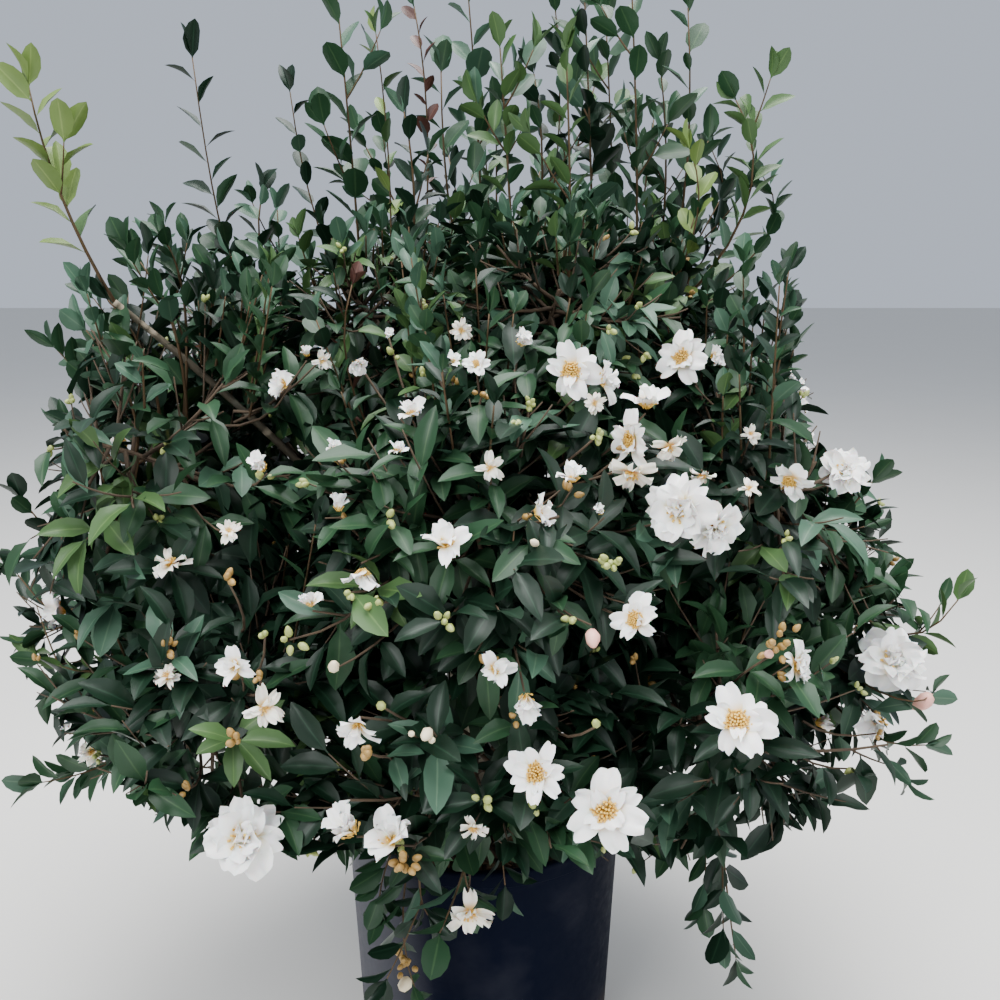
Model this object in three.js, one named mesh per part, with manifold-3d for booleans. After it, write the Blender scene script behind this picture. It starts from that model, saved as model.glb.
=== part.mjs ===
// Camellia shrub in a round nursery pot: a short stem that forks low into boughs, each bough ending in
// its own mass of twigs, leaves and white blooms, with long upright shoots over the top of the crown.
// Millimetres, +Z up. The origin is the centre of the pot's underside; -Y is the side that faces the viewer.

import * as THREE from "three";
import { mergeVertices } from "three/addons/utils/BufferGeometryUtils.js";
import Module from "manifold-3d";

const wasm = await Module();
wasm.setup();

// The pot: a tapered wall under a rolled lip, with drain holes low in the wall.
const POT = {
  height: 390,
  baseRadius: 198,
  wallTopRadius: 214,
  wall: 3,
  lipRadius: 223,
  lipHeight: 24,
  lipRound: 5,
  footChamfer: 3,
  drainHoles: 4,
  drainRadius: 11,
  drainHeight: 20,
  sides: 32,
};
const MIX = { topBelowLip: 30, crown: 7, flatRadius: 70, rings: 3 };
const CLEARANCE = 0.3;
const MIX_CLEARANCE = 1.4;

// The stem: from a flat cut on the potting mix, over its root flare, to the fork.
const STEM = {
  flareRadius: 33,
  radius: 19,
  height: 100,
  lean: new THREE.Vector3(8, 5, 0),
  flareShare: 0.35,
  sides: 10,
  rings: 6,
};

// The crown is three rings of foliage masses. Bearings are in degrees from +X, turning towards +Y.
// reach is how far each mass's outer edge lies from the ring's axis, heart is the height of its middle, and
// size its half sizes outwards, sideways and upwards. Its bough leaves a main bough at rootShare of its
// length, bends upwards by bend and comes in at a slope of entry degrees. facing is how steeply its twigs
// turn up.
const RINGS = [
  {
    name: "skirt",
    bearings: [-90, -45, 0, 45, 90, 135, 180, 225],
    sides: ["front", "front_right", "right", "back_right", "back", "back_left", "left", "front_left"],
    reach: [600, 655, 700, 690, 645, 700, 740, 690],
    heart: [640, 650, 680, 665, 655, 665, 685, 665],
    size: [265, 215, 215],
    axisShift: 0,
    rootShare: 0.07,
    boughRadius: [7.5, 4.6],
    entry: 8,
    bend: 30,
    facing: -0.1,
  },
  {
    name: "waist",
    bearings: [-90, -30, 30, 90, 150, 210],
    sides: ["front", "front_right", "back_right", "back", "back_left", "front_left"],
    reach: [565, 640, 620, 580, 690, 710],
    heart: [905, 910, 915, 925, 960, 975],
    size: [260, 220, 200],
    axisShift: 0,
    rootShare: 0.3,
    boughRadius: [8, 4.6],
    entry: 38,
    bend: -10,
    facing: 0.35,
  },
  {
    name: "top",
    bearings: [-75, 15, 105, 195],
    sides: ["front", "right", "back", "left"],
    reach: [330, 350, 335, 400],
    heart: [1115, 1105, 1110, 1110],
    size: [205, 190, 160],
    axisShift: 55,
    isMain: true,
    boughRadius: [11.5, 5],
    entry: 68,
    bend: -50,
    facing: 1.3,
  },
];

// Two long shoots that stand off the crown's left side, each on a bough of its own. The bough leaves the left
// main bough at rootShare of its length, and spread is how wide the shoot's leaves may stand.
const SPURS = [
  {
    name: "far_left_shoot",
    boughTip: [-462, -160, 1165],
    tip: [-540, -170, 1370],
    spread: 85,
    rootShare: 0.5,
  },
  {
    name: "near_left_shoot",
    boughTip: [-340, 0, 1205],
    tip: [-368, 5, 1435],
    spread: 70,
    rootShare: 0.72,
  },
];
const SPUR_BOUGH = { radius: [6.5, 4], bend: 40 };
const BOUGH = { sides: 5, rings: 3 };

// Shoots as [across, depth, height] of their tips: upright ones over the crown, and two that hang by the pot.
const UPRIGHT_SHOOTS = [
  [-228, -60, 1385],
  [-172, -110, 1555],
  [-112, 70, 1465],
  [-82, -150, 1500],
  [-8, 20, 1550],
  [45, -170, 1425],
  [98, 130, 1540],
  [142, -30, 1565],
  [196, -150, 1580],
  [268, 30, 1495],
  [330, -110, 1360],
  [-190, 190, 1400],
  [20, 270, 1450],
  [175, 240, 1480],
];
const HANGING_SHOOTS = [
  [372, -175, 215],
  [-72, -275, 325],
];
const SHOOT = { radius: [3.4, 2.2], rings: 3, lift: 0.12, hang: -0.5, leafStep: 70 };

// Foliage: a small core of close twigs, twigs that leave the mass's stem in it, and side twigs on some.
const CORE = { share: 0.33, roughness: 0.34, boughGap: 8 };
const TWIG = {
  count: 6,
  radius: [3.4, 2.4],
  sides: 3,
  rings: 2,
  reachShare: 0.78,
  rearTurn: -0.85,
  lift: 0.2,
};
const SIDE_TWIG = { every: 3, radius: [2.2, 1.8], from: 0.55, length: 85, turn: 55 };
const LEAF = { length: 110, width: 54, thickness: 3, sink: 0.4, lean: 52, tries: 6 };
const SHOOT_LEAF = { ...LEAF, length: 72, width: 36, thickness: 2.4, lean: 42 };
const LEAVES = {
  twig: { from: 0.5, count: 4, hasTipLeaf: true },
  side: { from: 0.7, count: 1, hasTipLeaf: true },
  bloom: { from: 0.7, count: 0, hasTipLeaf: false },
  shoot: { from: 0.3, hasTipLeaf: true },
};
const FACE_SLACK = 1.08;
const SPACE_MARGIN = 1.2;
const TOUCH_MARGIN = 5;
const GOLDEN_TURN = THREE.MathUtils.degToRad(137.508);

// White blooms at the tips of their own twigs, as [bearing, height] on the crown's face.
// CROWN_FACE gives the face's distance from the axis at some heights. The first list is the side that faces
// the viewer, and the far side is filled evenly at the same density.
const BLOOM = { radius: 43, depth: 20, petals: 5, notch: 0.72, sink: 3, lift: 0.2 };
const CROWN_FACE = [
  [380, 330],
  [520, 490],
  [620, 575],
  [760, 590],
  [900, 545],
  [1000, 480],
  [1080, 405],
  [1150, 320],
];
const BLOOMS_SEEN = [
  [-73, 1095],
  [-48, 1100],
  [-64, 1035],
  [-80, 985],
  [-60, 950],
  [-42, 974],
  [-27, 945],
  [-71, 867],
  [-60, 743],
  [-29, 730],
  [-18, 640],
  [-76, 668],
  [-120, 560],
  [-102, 640],
  [-107, 770],
  [-92, 440],
  [-129, 890],
  [-98, 915],
  [-123, 1050],
  [-160, 760],
];
const BLOOMS_FAR = { count: 12, firstBearing: 12, arc: 170, lowest: 500, highest: 1090 };

const MATERIALS = {
  pot: new THREE.MeshStandardMaterial({ color: 0x2b2e36, roughness: 0.55 }),
  mix: new THREE.MeshStandardMaterial({ color: 0x3a2a20, roughness: 0.95 }),
  bark: new THREE.MeshStandardMaterial({ color: 0x7a6652, roughness: 0.85 }),
  leaf: new THREE.MeshStandardMaterial({ color: 0x2f4b33, roughness: 0.4 }),
};
const UP = new THREE.Vector3(0, 0, 1);

// Random numbers from 0 to 1 that are the same on every run.
function seededRandom(seed) {
  let state = seed >>> 0;
  return () => {
    state = (state + 0x6d2b79f5) >>> 0;
    let mixed = Math.imul(state ^ (state >>> 15), state | 1);
    mixed ^= mixed + Math.imul(mixed ^ (mixed >>> 7), mixed | 61);
    return ((mixed ^ (mixed >>> 14)) >>> 0) / 4294967296;
  };
}

const blend = THREE.MathUtils.lerp;
const radians = THREE.MathUtils.degToRad;

// The point at this bearing, distance from the axis and height.
function around(bearing, distance, height, shift = 0) {
  const angle = radians(bearing);
  return new THREE.Vector3(Math.cos(angle) * distance + shift, Math.sin(angle) * distance, height);
}

// A geometry as a solid that can be cut and joined.
function toSolid(geometry) {
  const bare = geometry.index ? geometry.toNonIndexed() : geometry.clone();
  bare.deleteAttribute("normal");
  bare.deleteAttribute("uv");
  const merged = mergeVertices(bare, 1e-4);
  const triVerts = new Uint32Array(merged.index.array);
  const vertProperties = merged.attributes.position.array;
  return plainFaces(new wasm.Manifold(new wasm.Mesh({ numProp: 3, vertProperties, triVerts })));
}

// The same solid with the needless corners on its flat faces taken out.
function plainFaces(solid) {
  return solid.asOriginal().simplify(0.001);
}

// A solid as a named mesh.
function toMesh(solid, name, material) {
  const { vertProperties, triVerts, numProp } = solid.getMesh();
  const geometry = new THREE.BufferGeometry();
  const interleaved = new THREE.InterleavedBuffer(new Float32Array(vertProperties), numProp);
  geometry.setAttribute("position", new THREE.InterleavedBufferAttribute(interleaved, 3, 0));
  geometry.setIndex(new THREE.BufferAttribute(new Uint32Array(triVerts), 1));
  const mesh = new THREE.Mesh(geometry.toNonIndexed(), material);
  mesh.geometry.computeVertexNormals();
  mesh.name = name;
  return mesh;
}

// The largest body of a solid. Scraps that a cut leaves loose are dropped.
function largestBody(solid) {
  return solid.decompose().reduce((best, body) => (body.volume() > best.volume() ? body : best));
}

// The frame of a limb's section at a point on its curve: the way the limb runs, and two directions across.
function limbFrame(curve, along) {
  const chord = curve.getPoint(1).sub(curve.getPoint(0));
  const across = Math.abs(chord.z) > 0.7 * chord.length() ? new THREE.Vector3(0, 1, 0) : UP;
  const tangent = curve.getTangent(along);
  const side = new THREE.Vector3().crossVectors(across, tangent).normalize();
  return { tangent, side, other: new THREE.Vector3().crossVectors(side, tangent) };
}

// A limb: a lathe profile of this radius, bent along the curve. Its ends are flat and square to the curve.
function limbSolid(curve, radiusAt, sides, rings) {
  const profile = [new THREE.Vector2(0, 0)];
  for (let ring = 0; ring <= rings; ring++) {
    profile.push(new THREE.Vector2(radiusAt(ring / rings), ring / rings));
  }
  profile.push(new THREE.Vector2(0, 1));
  const geometry = new THREE.LatheGeometry(profile, sides);
  const position = geometry.attributes.position;
  for (let i = 0; i < position.count; i++) {
    const { side, other } = limbFrame(curve, position.getY(i));
    const point = curve.getPoint(position.getY(i));
    point.addScaledVector(side, position.getX(i)).addScaledVector(other, position.getZ(i));
    position.setXYZ(i, point.x, point.y, point.z);
  }
  return toSolid(geometry);
}

// The direction square to one of a three-sided twig's faces.
function twigFace(curve, along, face) {
  const { tangent, side, other } = limbFrame(curve, along);
  const angle = (2 * Math.PI * (face + 0.5)) / TWIG.sides;
  const aside = side.multiplyScalar(Math.sin(angle)).addScaledVector(other, Math.cos(angle));
  return { tangent, aside };
}

// A limb: its solid, a swollen copy that cuts its neighbours clear of it, and points on it for touch tests.
function makeLimb(name, curve, radiusAt, sides, rings) {
  const samples = [];
  for (let along = 0; along <= 1; along += 1 / 24) {
    samples.push({ point: curve.getPoint(along), radius: radiusAt(along) });
  }
  return {
    name,
    curve,
    samples,
    solid: limbSolid(curve, radiusAt, sides, rings),
    swollen: limbSolid(curve, (along) => radiusAt(along) + CLEARANCE + 0.05, sides, rings),
  };
}

// A solid turned about the vertical axis, from an outline of [radius, height] pairs.
function turned(outline, sides) {
  const profile = outline.map(([radius, height]) => new THREE.Vector2(radius, height));
  return toSolid(new THREE.LatheGeometry(profile, sides).rotateX(Math.PI / 2));
}

// The radius of the pot's outer wall at this height.
function wallAt(height) {
  return blend(POT.baseRadius, POT.wallTopRadius, height / (POT.height - POT.lipHeight));
}

function potSolid() {
  const lipFoot = POT.height - POT.lipHeight;
  const innerTop = POT.wallTopRadius - POT.wall;
  const outline = [
    [0, 0],
    [POT.baseRadius - POT.footChamfer, 0],
    [wallAt(POT.footChamfer), POT.footChamfer],
    [wallAt(lipFoot), lipFoot],
    [POT.lipRadius, lipFoot + 2],
    [POT.lipRadius, POT.height - POT.lipRound],
    [POT.lipRadius - POT.lipRound, POT.height],
    [innerTop + 1, POT.height],
    [innerTop, POT.height - POT.lipRound],
    [wallAt(POT.wall) - POT.wall, POT.wall],
    [0, POT.wall],
  ];
  let pot = turned(outline, POT.sides);
  for (let hole = 0; hole < POT.drainHoles; hole++) {
    const drill = new THREE.CylinderGeometry(POT.drainRadius, POT.drainRadius, 4 * POT.drainRadius, 8);
    drill.translate(0, POT.baseRadius, 0);
    drill.rotateZ((2 * Math.PI * (hole + 0.5)) / POT.drainHoles);
    drill.translate(0, 0, POT.drainHeight);
    pot = pot.subtract(toSolid(drill));
  }
  return pot;
}

// Potting mix: it fills the pot to a little below the lip and is heaped slightly towards the stem.
function mixSolid() {
  const top = POT.height - MIX.topBelowLip;
  const innerAt = (height) => wallAt(height) - POT.wall - MIX_CLEARANCE;
  const floor = POT.wall + CLEARANCE;
  const edge = top - MIX.crown;
  const outline = [
    [0, floor],
    [innerAt(floor) - 1, floor],
    [innerAt(edge), edge],
  ];
  for (let ring = 1; ring <= MIX.rings; ring++) {
    const share = ring / MIX.rings;
    const height = edge + MIX.crown * Math.sin((share * Math.PI) / 2);
    outline.push([blend(innerAt(edge), MIX.flatRadius, share), height]);
  }
  outline.push([0, top]);
  return turned(outline, POT.sides / 2);
}

function stemLimb() {
  const foot = new THREE.Vector3(0, 0, POT.height - MIX.topBelowLip + CLEARANCE);
  const fork = foot.clone().add(STEM.lean).addScaledVector(UP, STEM.height);
  const middle = foot.clone().addScaledVector(UP, STEM.height / 2);
  const curve = new THREE.QuadraticBezierCurve3(foot, middle, fork);
  const radiusAt = (along) =>
    STEM.radius + (STEM.flareRadius - STEM.radius) * Math.max(0, 1 - along / STEM.flareShare) ** 2;
  return makeLimb("stem", curve, radiusAt, STEM.sides, STEM.rings);
}

// A foliage mass at its heart, with its half sizes outwards, sideways and upwards.
function makeMass(name, bearing, heart, size) {
  const outward = around(bearing, 1, 0);
  return {
    name,
    heart,
    size,
    axes: [outward, new THREE.Vector3().crossVectors(UP, outward), UP.clone()],
    walls: [],
    twigs: [],
    shoots: [],
    blooms: [],
  };
}

// How far a point at this offset from the mass's heart lies out, as a share of the way to its outer face.
function faceShare(mass, offset) {
  return Math.hypot(...mass.axes.map((axis, i) => axis.dot(offset) / mass.size[i]));
}

// Where a ray from the mass's heart leaves its outer face.
function faceDistance(mass, direction) {
  return direction.length() / faceShare(mass, direction);
}

// How far the mass reaches from its heart along a direction.
function support(mass, direction) {
  return Math.hypot(...mass.axes.map((axis, i) => axis.dot(direction) * mass.size[i]));
}

// Each pair of masses is parted by a flat wall between their hearts, so no two spaces meet.
// The wall beside a long shoot is upright and the one under it is level.
function raiseWalls(masses) {
  for (const mass of masses) {
    for (const other of masses) {
      if (other === mass) continue;
      const normal = other.heart.clone().sub(mass.heart);
      const isBeside = Math.hypot(normal.x, normal.y) > 0.8 * Math.abs(normal.z);
      if (mass.isSpur || other.isSpur) normal.multiply(isBeside ? new THREE.Vector3(1, 1, 0) : UP);
      const distance = normal.length();
      normal.normalize();
      const share = support(mass, normal) / (support(mass, normal) + support(other, normal));
      mass.walls.push({ normal, offset: normal.dot(mass.heart) + distance * share - SPACE_MARGIN });
    }
  }
}

// Whether a point lies in the mass's space: within its walls and, unless it may reach beyond, near its face.
function inSpace(mass, point, beyondFace) {
  if (!mass.walls.every(({ normal, offset }) => normal.dot(point) < offset)) return false;
  return beyondFace || faceShare(mass, point.clone().sub(mass.heart)) <= FACE_SLACK;
}

// Whether a point is near a limb, or near or inside the pot.
function isBlocked(limbs, point) {
  const isNear = (sample) => sample.point.distanceTo(point) < sample.radius + TOUCH_MARGIN;
  const isOverPot = Math.hypot(point.x, point.y) < POT.lipRadius + TOUCH_MARGIN;
  if (isOverPot && point.z < POT.height + TOUCH_MARGIN) return true;
  return limbs.some((limb) => limb.samples.some(isNear));
}

// Whether a flat piece fits in the mass's space, clear of limbs and pot: its corners and edges are tested.
function fits(mass, corners, limbs, beyondFace) {
  if (!corners.every((corner) => inSpace(mass, corner, beyondFace))) return false;
  return corners.every((corner, i) =>
    corners
      .slice(i)
      .every((other) => [0, 0.25, 0.5, 0.75].every((t) => !isBlocked(limbs, corner.clone().lerp(other, t)))),
  );
}

// A curved twig from a root to its tip, which turns up or, with a negative lift, hangs.
function twigCurve(root, tip, lift) {
  const length = root.distanceTo(tip);
  const middle = root.clone().lerp(tip, 0.5).addScaledVector(UP, -lift * length * 0.5);
  return new THREE.QuadraticBezierCurve3(root, middle, tip);
}

// A leaf: a thin four-faced blade, creased along its midrib, with its root near the origin and its tip
// along +X.
function leafGeometry(leaf) {
  const blade = new THREE.TetrahedronGeometry(Math.sqrt(3)).rotateZ(-Math.PI / 4).rotateX(Math.PI);
  blade.scale(leaf.length / Math.sqrt(8), leaf.width / Math.sqrt(8), leaf.thickness / 2);
  return blade.translate(leaf.length / 2 - leaf.sink, 0, 0);
}

// The blade placed at a point, along a direction, with its upper face turned towards facing.
function placed(geometry, point, direction, facing) {
  const along = direction.clone().normalize();
  const side = new THREE.Vector3().crossVectors(facing, along).normalize();
  const face = new THREE.Vector3().crossVectors(along, side);
  const matrix = new THREE.Matrix4().makeBasis(along, side, face).setPosition(point);
  return geometry.clone().applyMatrix4(matrix);
}

// The corners of a geometry, each once.
function cornersOf(geometry) {
  const bare = geometry.clone().deleteAttribute("normal").deleteAttribute("uv");
  const { array, count } = mergeVertices(bare).attributes.position;
  return Array.from({ length: count }, (_, i) => new THREE.Vector3().fromArray(array, 3 * i));
}

// A bloom: one dish with petal tips and notches round its edge.
function bloomGeometry(point, direction) {
  const dish = new THREE.SphereGeometry(1, 2 * BLOOM.petals, 2).rotateX(Math.PI / 2);
  const position = dish.attributes.position;
  for (let i = 0; i < position.count; i++) {
    const angle = Math.atan2(position.getY(i), position.getX(i));
    const atRim = Math.abs(position.getZ(i)) < 0.5;
    const isTip = Math.round((angle * BLOOM.petals) / Math.PI) % 2 === 0;
    const radius = atRim ? BLOOM.radius * (isTip ? 1 : BLOOM.notch) : 0;
    const poleHeight = position.getZ(i) > 0 ? BLOOM.depth / 2 : 0;
    position.setXYZ(i, Math.cos(angle) * radius, Math.sin(angle) * radius, atRim ? BLOOM.depth : poleHeight);
  }
  const turn = new THREE.Quaternion().setFromUnitVectors(UP, direction.clone().normalize());
  return dish.applyQuaternion(turn).translate(point.x, point.y, point.z);
}

// How far the mass's space reaches from its heart along a direction, before its outer face or a wall.
function spaceReach(mass, direction) {
  let reach = faceDistance(mass, direction);
  for (const { normal, offset } of mass.walls) {
    const closing = normal.dot(direction);
    if (closing > 0) reach = Math.min(reach, (offset - normal.dot(mass.heart)) / closing);
  }
  return reach;
}

// Twig directions: an even spiral about the way the mass faces, from straight ahead round to its rear.
function twigDirections(mass, random) {
  const sideways = new THREE.Vector3().crossVectors(UP, mass.facing).normalize();
  const upward = new THREE.Vector3().crossVectors(mass.facing, sideways);
  return Array.from({ length: TWIG.count }, (_, i) => {
    const turn = i * GOLDEN_TURN + random() * 0.5;
    const cosine = blend(0.95, TWIG.rearTurn, (i + 0.3 + 0.4 * random()) / TWIG.count);
    const sine = Math.sqrt(1 - cosine * cosine);
    const direction = mass.facing.clone().multiplyScalar(cosine);
    direction.addScaledVector(sideways, sine * Math.cos(turn));
    return direction.addScaledVector(upward, sine * Math.sin(turn));
  });
}

// Adds a twig to a mass's twigs, unless it would leave the mass's space or touch a limb or the pot.
function addTwig(mass, limbs, kind, root, tip, lift, radii) {
  const curve = twigCurve(root, tip, lift);
  for (let along = 0.2; along <= 1; along += 0.05) {
    const point = curve.getPoint(along);
    if (!inSpace(mass, point, kind === "shoot") || isBlocked(limbs, point)) return null;
  }
  const twig = { kind, curve, radii };
  mass.twigs.push(twig);
  return twig;
}

// The leafy twigs of a mass. Some carry a side twig, on the first of the twig's faces that has room for it.
function growTwigs(mass, limbs, random) {
  for (const [i, direction] of twigDirections(mass, random).entries()) {
    const face = Math.floor(TWIG.sides * random());
    const from = SIDE_TWIG.from + 0.2 * (random() - 0.5);
    const root = mass.stem.getPoint(blend(0.45, 0.9, (direction.dot(mass.facing) + 1) / 2));
    const tip = mass.heart.clone().addScaledVector(direction, spaceReach(mass, direction) * TWIG.reachShare);
    const twig = addTwig(mass, limbs, "twig", root, tip, TWIG.lift, TWIG.radius);
    if (!twig || i % SIDE_TWIG.every) continue;
    const start = twig.curve.getPoint(from);
    for (let turn = 0; turn < TWIG.sides; turn++) {
      const { tangent, aside } = twigFace(twig.curve, from, face + turn);
      const away = tangent.multiplyScalar(Math.cos(radians(SIDE_TWIG.turn)));
      away.addScaledVector(aside, Math.sin(radians(SIDE_TWIG.turn)));
      const end = start.clone().addScaledVector(away, SIDE_TWIG.length);
      if (addTwig(mass, limbs, "side", start, end, 0, SIDE_TWIG.radius)) break;
    }
  }
}

// The twigs of a mass that end in a bloom.
function growBlooms(mass, limbs) {
  for (const point of mass.blooms) {
    const direction = point.clone().sub(mass.heart);
    const root = mass.heart.clone().addScaledVector(direction, 0.2);
    const base = point.clone().addScaledVector(direction.normalize(), -BLOOM.sink);
    const bloom = bloomGeometry(base, direction.addScaledVector(UP, BLOOM.lift));
    if (!fits(mass, cornersOf(bloom), limbs, true)) continue;
    const twig = addTwig(mass, limbs, "bloom", root, point, TWIG.lift / 2, TWIG.radius);
    if (twig) twig.bloom = bloom;
  }
}

// The long shoots of a mass. They spring from its core, or from the stem of a mass that is one shoot.
function growShoots(mass, limbs) {
  for (const tip of mass.shoots) {
    const offset = tip.clone().sub(mass.heart).setZ(0);
    offset.clampLength(0, 0.7 * CORE.share * Math.min(mass.size[0], mass.size[1]));
    const root = mass.isSpur ? mass.stem.getPoint(0.5) : mass.heart.clone().add(offset);
    const lift = tip.z < mass.heart.z ? SHOOT.hang : SHOOT.lift;
    addTwig(mass, limbs, "shoot", root, tip, lift, SHOOT.radius);
  }
}

// The leaves of one twig: on alternate faces, and one at its tip. Each is turned to find room, or left out.
function twigLeaves(mass, twig, limbs, random) {
  const isShoot = twig.kind === "shoot";
  const leaf = isShoot ? SHOOT_LEAF : LEAF;
  const { from, count, hasTipLeaf } = LEAVES[twig.kind];
  const blades = [];
  const addLeaf = (along, directionAt) => {
    const point = twig.curve.getPoint(along);
    const outward = point.clone().sub(mass.heart).normalize();
    for (let attempt = 0; attempt < LEAF.tries; attempt++) {
      const facing = UP.clone().addScaledVector(outward, 0.7 + 1.8 * random());
      const blade = placed(leafGeometry(leaf), point, directionAt(attempt), facing);
      if (!fits(mass, cornersOf(blade), limbs, isShoot)) continue;
      blades.push(toSolid(blade));
      return;
    }
  };
  const firstFace = Math.floor(TWIG.sides * random());
  const steps = count ?? Math.round((twig.curve.getLength() * (1 - from)) / SHOOT.leafStep);
  for (let i = 0; i < steps; i++) {
    const along = blend(from, 0.9, steps > 1 ? i / (steps - 1) : 0);
    addLeaf(along, (attempt) => {
      const { tangent, aside } = twigFace(twig.curve, along, firstFace + i + attempt);
      const lean = radians(leaf.lean);
      return tangent.multiplyScalar(Math.cos(lean)).addScaledVector(aside, Math.sin(lean));
    });
  }
  if (hasTipLeaf) addLeaf(0.98, () => twig.curve.getTangent(1));
  return blades;
}

// The core: a rough body of close twigs and inner leaves round the mass's heart.
function coreSolid(mass) {
  const geometry = new THREE.IcosahedronGeometry(1, 1);
  const position = geometry.attributes.position;
  for (let i = 0; i < position.count; i++) {
    const [x, y, z] = [position.getX(i), position.getY(i), position.getZ(i)];
    const rough = 1 + CORE.roughness * Math.sin(9 * x + 0.02 * mass.heart.x) * Math.cos(8 * y + 5 * z);
    position.setXYZ(i, ...[x, y, z].map((value, k) => value * rough * CORE.share * mass.size[k]));
  }
  const matrix = new THREE.Matrix4().makeBasis(...mass.axes).setPosition(mass.heart);
  return toSolid(geometry.applyMatrix4(matrix));
}

// A foliage mass as one solid: its stem, its core, its twigs, and their leaves and blooms.
function foliageSolid(mass, limbs, random) {
  const stemRadiusAt = (along) => blend(mass.stemRadius, TWIG.radius[0], along);
  const pieces = [limbSolid(mass.stem, stemRadiusAt, BOUGH.sides, TWIG.rings)];
  if (!mass.isSpur) {
    pieces.push(coreSolid(mass));
    growTwigs(mass, limbs, random);
    growBlooms(mass, limbs);
  }
  growShoots(mass, limbs);
  for (const twig of mass.twigs) {
    const rings = { shoot: SHOOT.rings, twig: TWIG.rings, bloom: 1, side: 1 }[twig.kind];
    pieces.push(limbSolid(twig.curve, (along) => blend(...twig.radii, along), TWIG.sides, rings));
    pieces.push(...twigLeaves(mass, twig, limbs, random));
    if (twig.bloom) pieces.push(toSolid(twig.bloom));
  }
  return plainFaces(largestBody(wasm.Manifold.union(pieces)));
}

// A tapering bough from its root to its tip, through a middle point.
function makeBough(mass, root, middle, tip, radii) {
  const curve = new THREE.QuadraticBezierCurve3(root, middle, tip);
  const radiusAt = (along) => blend(...radii, along);
  mass.bough = makeLimb(`bough_${mass.name}`, curve, radiusAt, BOUGH.sides, BOUGH.rings);
  mass.stemRadius = radii[1];
}

// The mass of a ring at one of its bearings, and its bough. The top ring's boughs are the main ones.
function layOutMass(ring, i, stem, mains) {
  const out = ring.reach[i] - ring.size[0];
  const heart = around(ring.bearings[i], out, ring.heart[i], ring.axisShift);
  const mass = makeMass(`${ring.name}_${ring.sides[i]}`, ring.bearings[i], heart, ring.size);
  mass.facing = mass.axes[0].clone().addScaledVector(UP, ring.facing).normalize();
  const slope = radians(ring.entry);
  const inward = mass.axes[0].clone().multiplyScalar(-Math.cos(slope));
  inward.addScaledVector(UP, -Math.sin(slope));
  const coreEdge = faceDistance(mass, inward) * CORE.share * (1 + CORE.roughness);
  const tip = heart.clone().addScaledVector(inward, coreEdge + CORE.boughGap);
  if (ring.isMain) {
    const root = stem.curve.getPoint(0.9);
    const elbow = around(ring.bearings[i], out, blend(root.z, tip.z, 0.4), ring.axisShift);
    const middle = root.clone().lerp(tip, 0.5).addScaledVector(UP, ring.bend).lerp(elbow, 0.5);
    makeBough(mass, root, middle, tip, ring.boughRadius);
    mains.push(mass.bough);
  } else {
    const root = nearestLimb(mains, tip).curve.getPoint(ring.rootShare + 0.05 * (i % 3));
    const middle = root.clone().lerp(tip, 0.5).addScaledVector(UP, ring.bend);
    makeBough(mass, root, middle, tip, ring.boughRadius);
  }
  joinStem(mass, heart.clone().addScaledVector(mass.facing, 0.4 * ring.size[0]));
  return mass;
}

// A mass that is only one long shoot, and its bough.
function layOutSpur(spur, mains) {
  const boughTip = new THREE.Vector3(...spur.boughTip);
  const tip = new THREE.Vector3(...spur.tip);
  const halfHeight = (tip.z - boughTip.z) * 0.56;
  const size = [spur.spread, spur.spread, halfHeight];
  const mass = makeMass(spur.name, 180, boughTip.clone().lerp(tip, 0.52), size);
  mass.facing = tip.clone().sub(boughTip).normalize();
  mass.isSpur = true;
  const root = nearestLimb(mains, boughTip).curve.getPoint(spur.rootShare);
  const middle = root.clone().lerp(boughTip, 0.5).addScaledVector(UP, SPUR_BOUGH.bend);
  makeBough(mass, root, middle, boughTip, SPUR_BOUGH.radius);
  joinStem(mass, boughTip.clone().lerp(tip, 0.35));
  mass.shoots.push(tip);
  return mass;
}

// All of the crown's masses, the ones of the top ring first, because their boughs carry the rest.
function layOutCrown(stem) {
  const mains = [];
  const masses = [];
  for (const ring of [...RINGS].reverse()) {
    for (let i = 0; i < ring.bearings.length; i++) masses.push(layOutMass(ring, i, stem, mains));
  }
  for (const spur of SPURS) masses.push(layOutSpur(spur, mains));
  return masses;
}

// The limb whose tip lies nearest to a point, seen from above.
function nearestLimb(limbs, point) {
  const distance = ({ curve }) => curve.getPoint(1).setZ(0).distanceTo(point.clone().setZ(0));
  return limbs.reduce((best, limb) => (distance(limb) < distance(best) ? limb : best));
}

// The mass's own stem: it meets the bough's tip face to face, a clearance away, and runs on into the mass.
function joinStem(mass, end) {
  const { curve } = mass.bough;
  const heading = curve.getTangent(1);
  const start = curve.getPoint(1).addScaledVector(heading, CLEARANCE);
  const middle = start.clone().addScaledVector(heading, start.distanceTo(end) * 0.45);
  mass.stem = new THREE.QuadraticBezierCurve3(start, middle, end);
}

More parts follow.
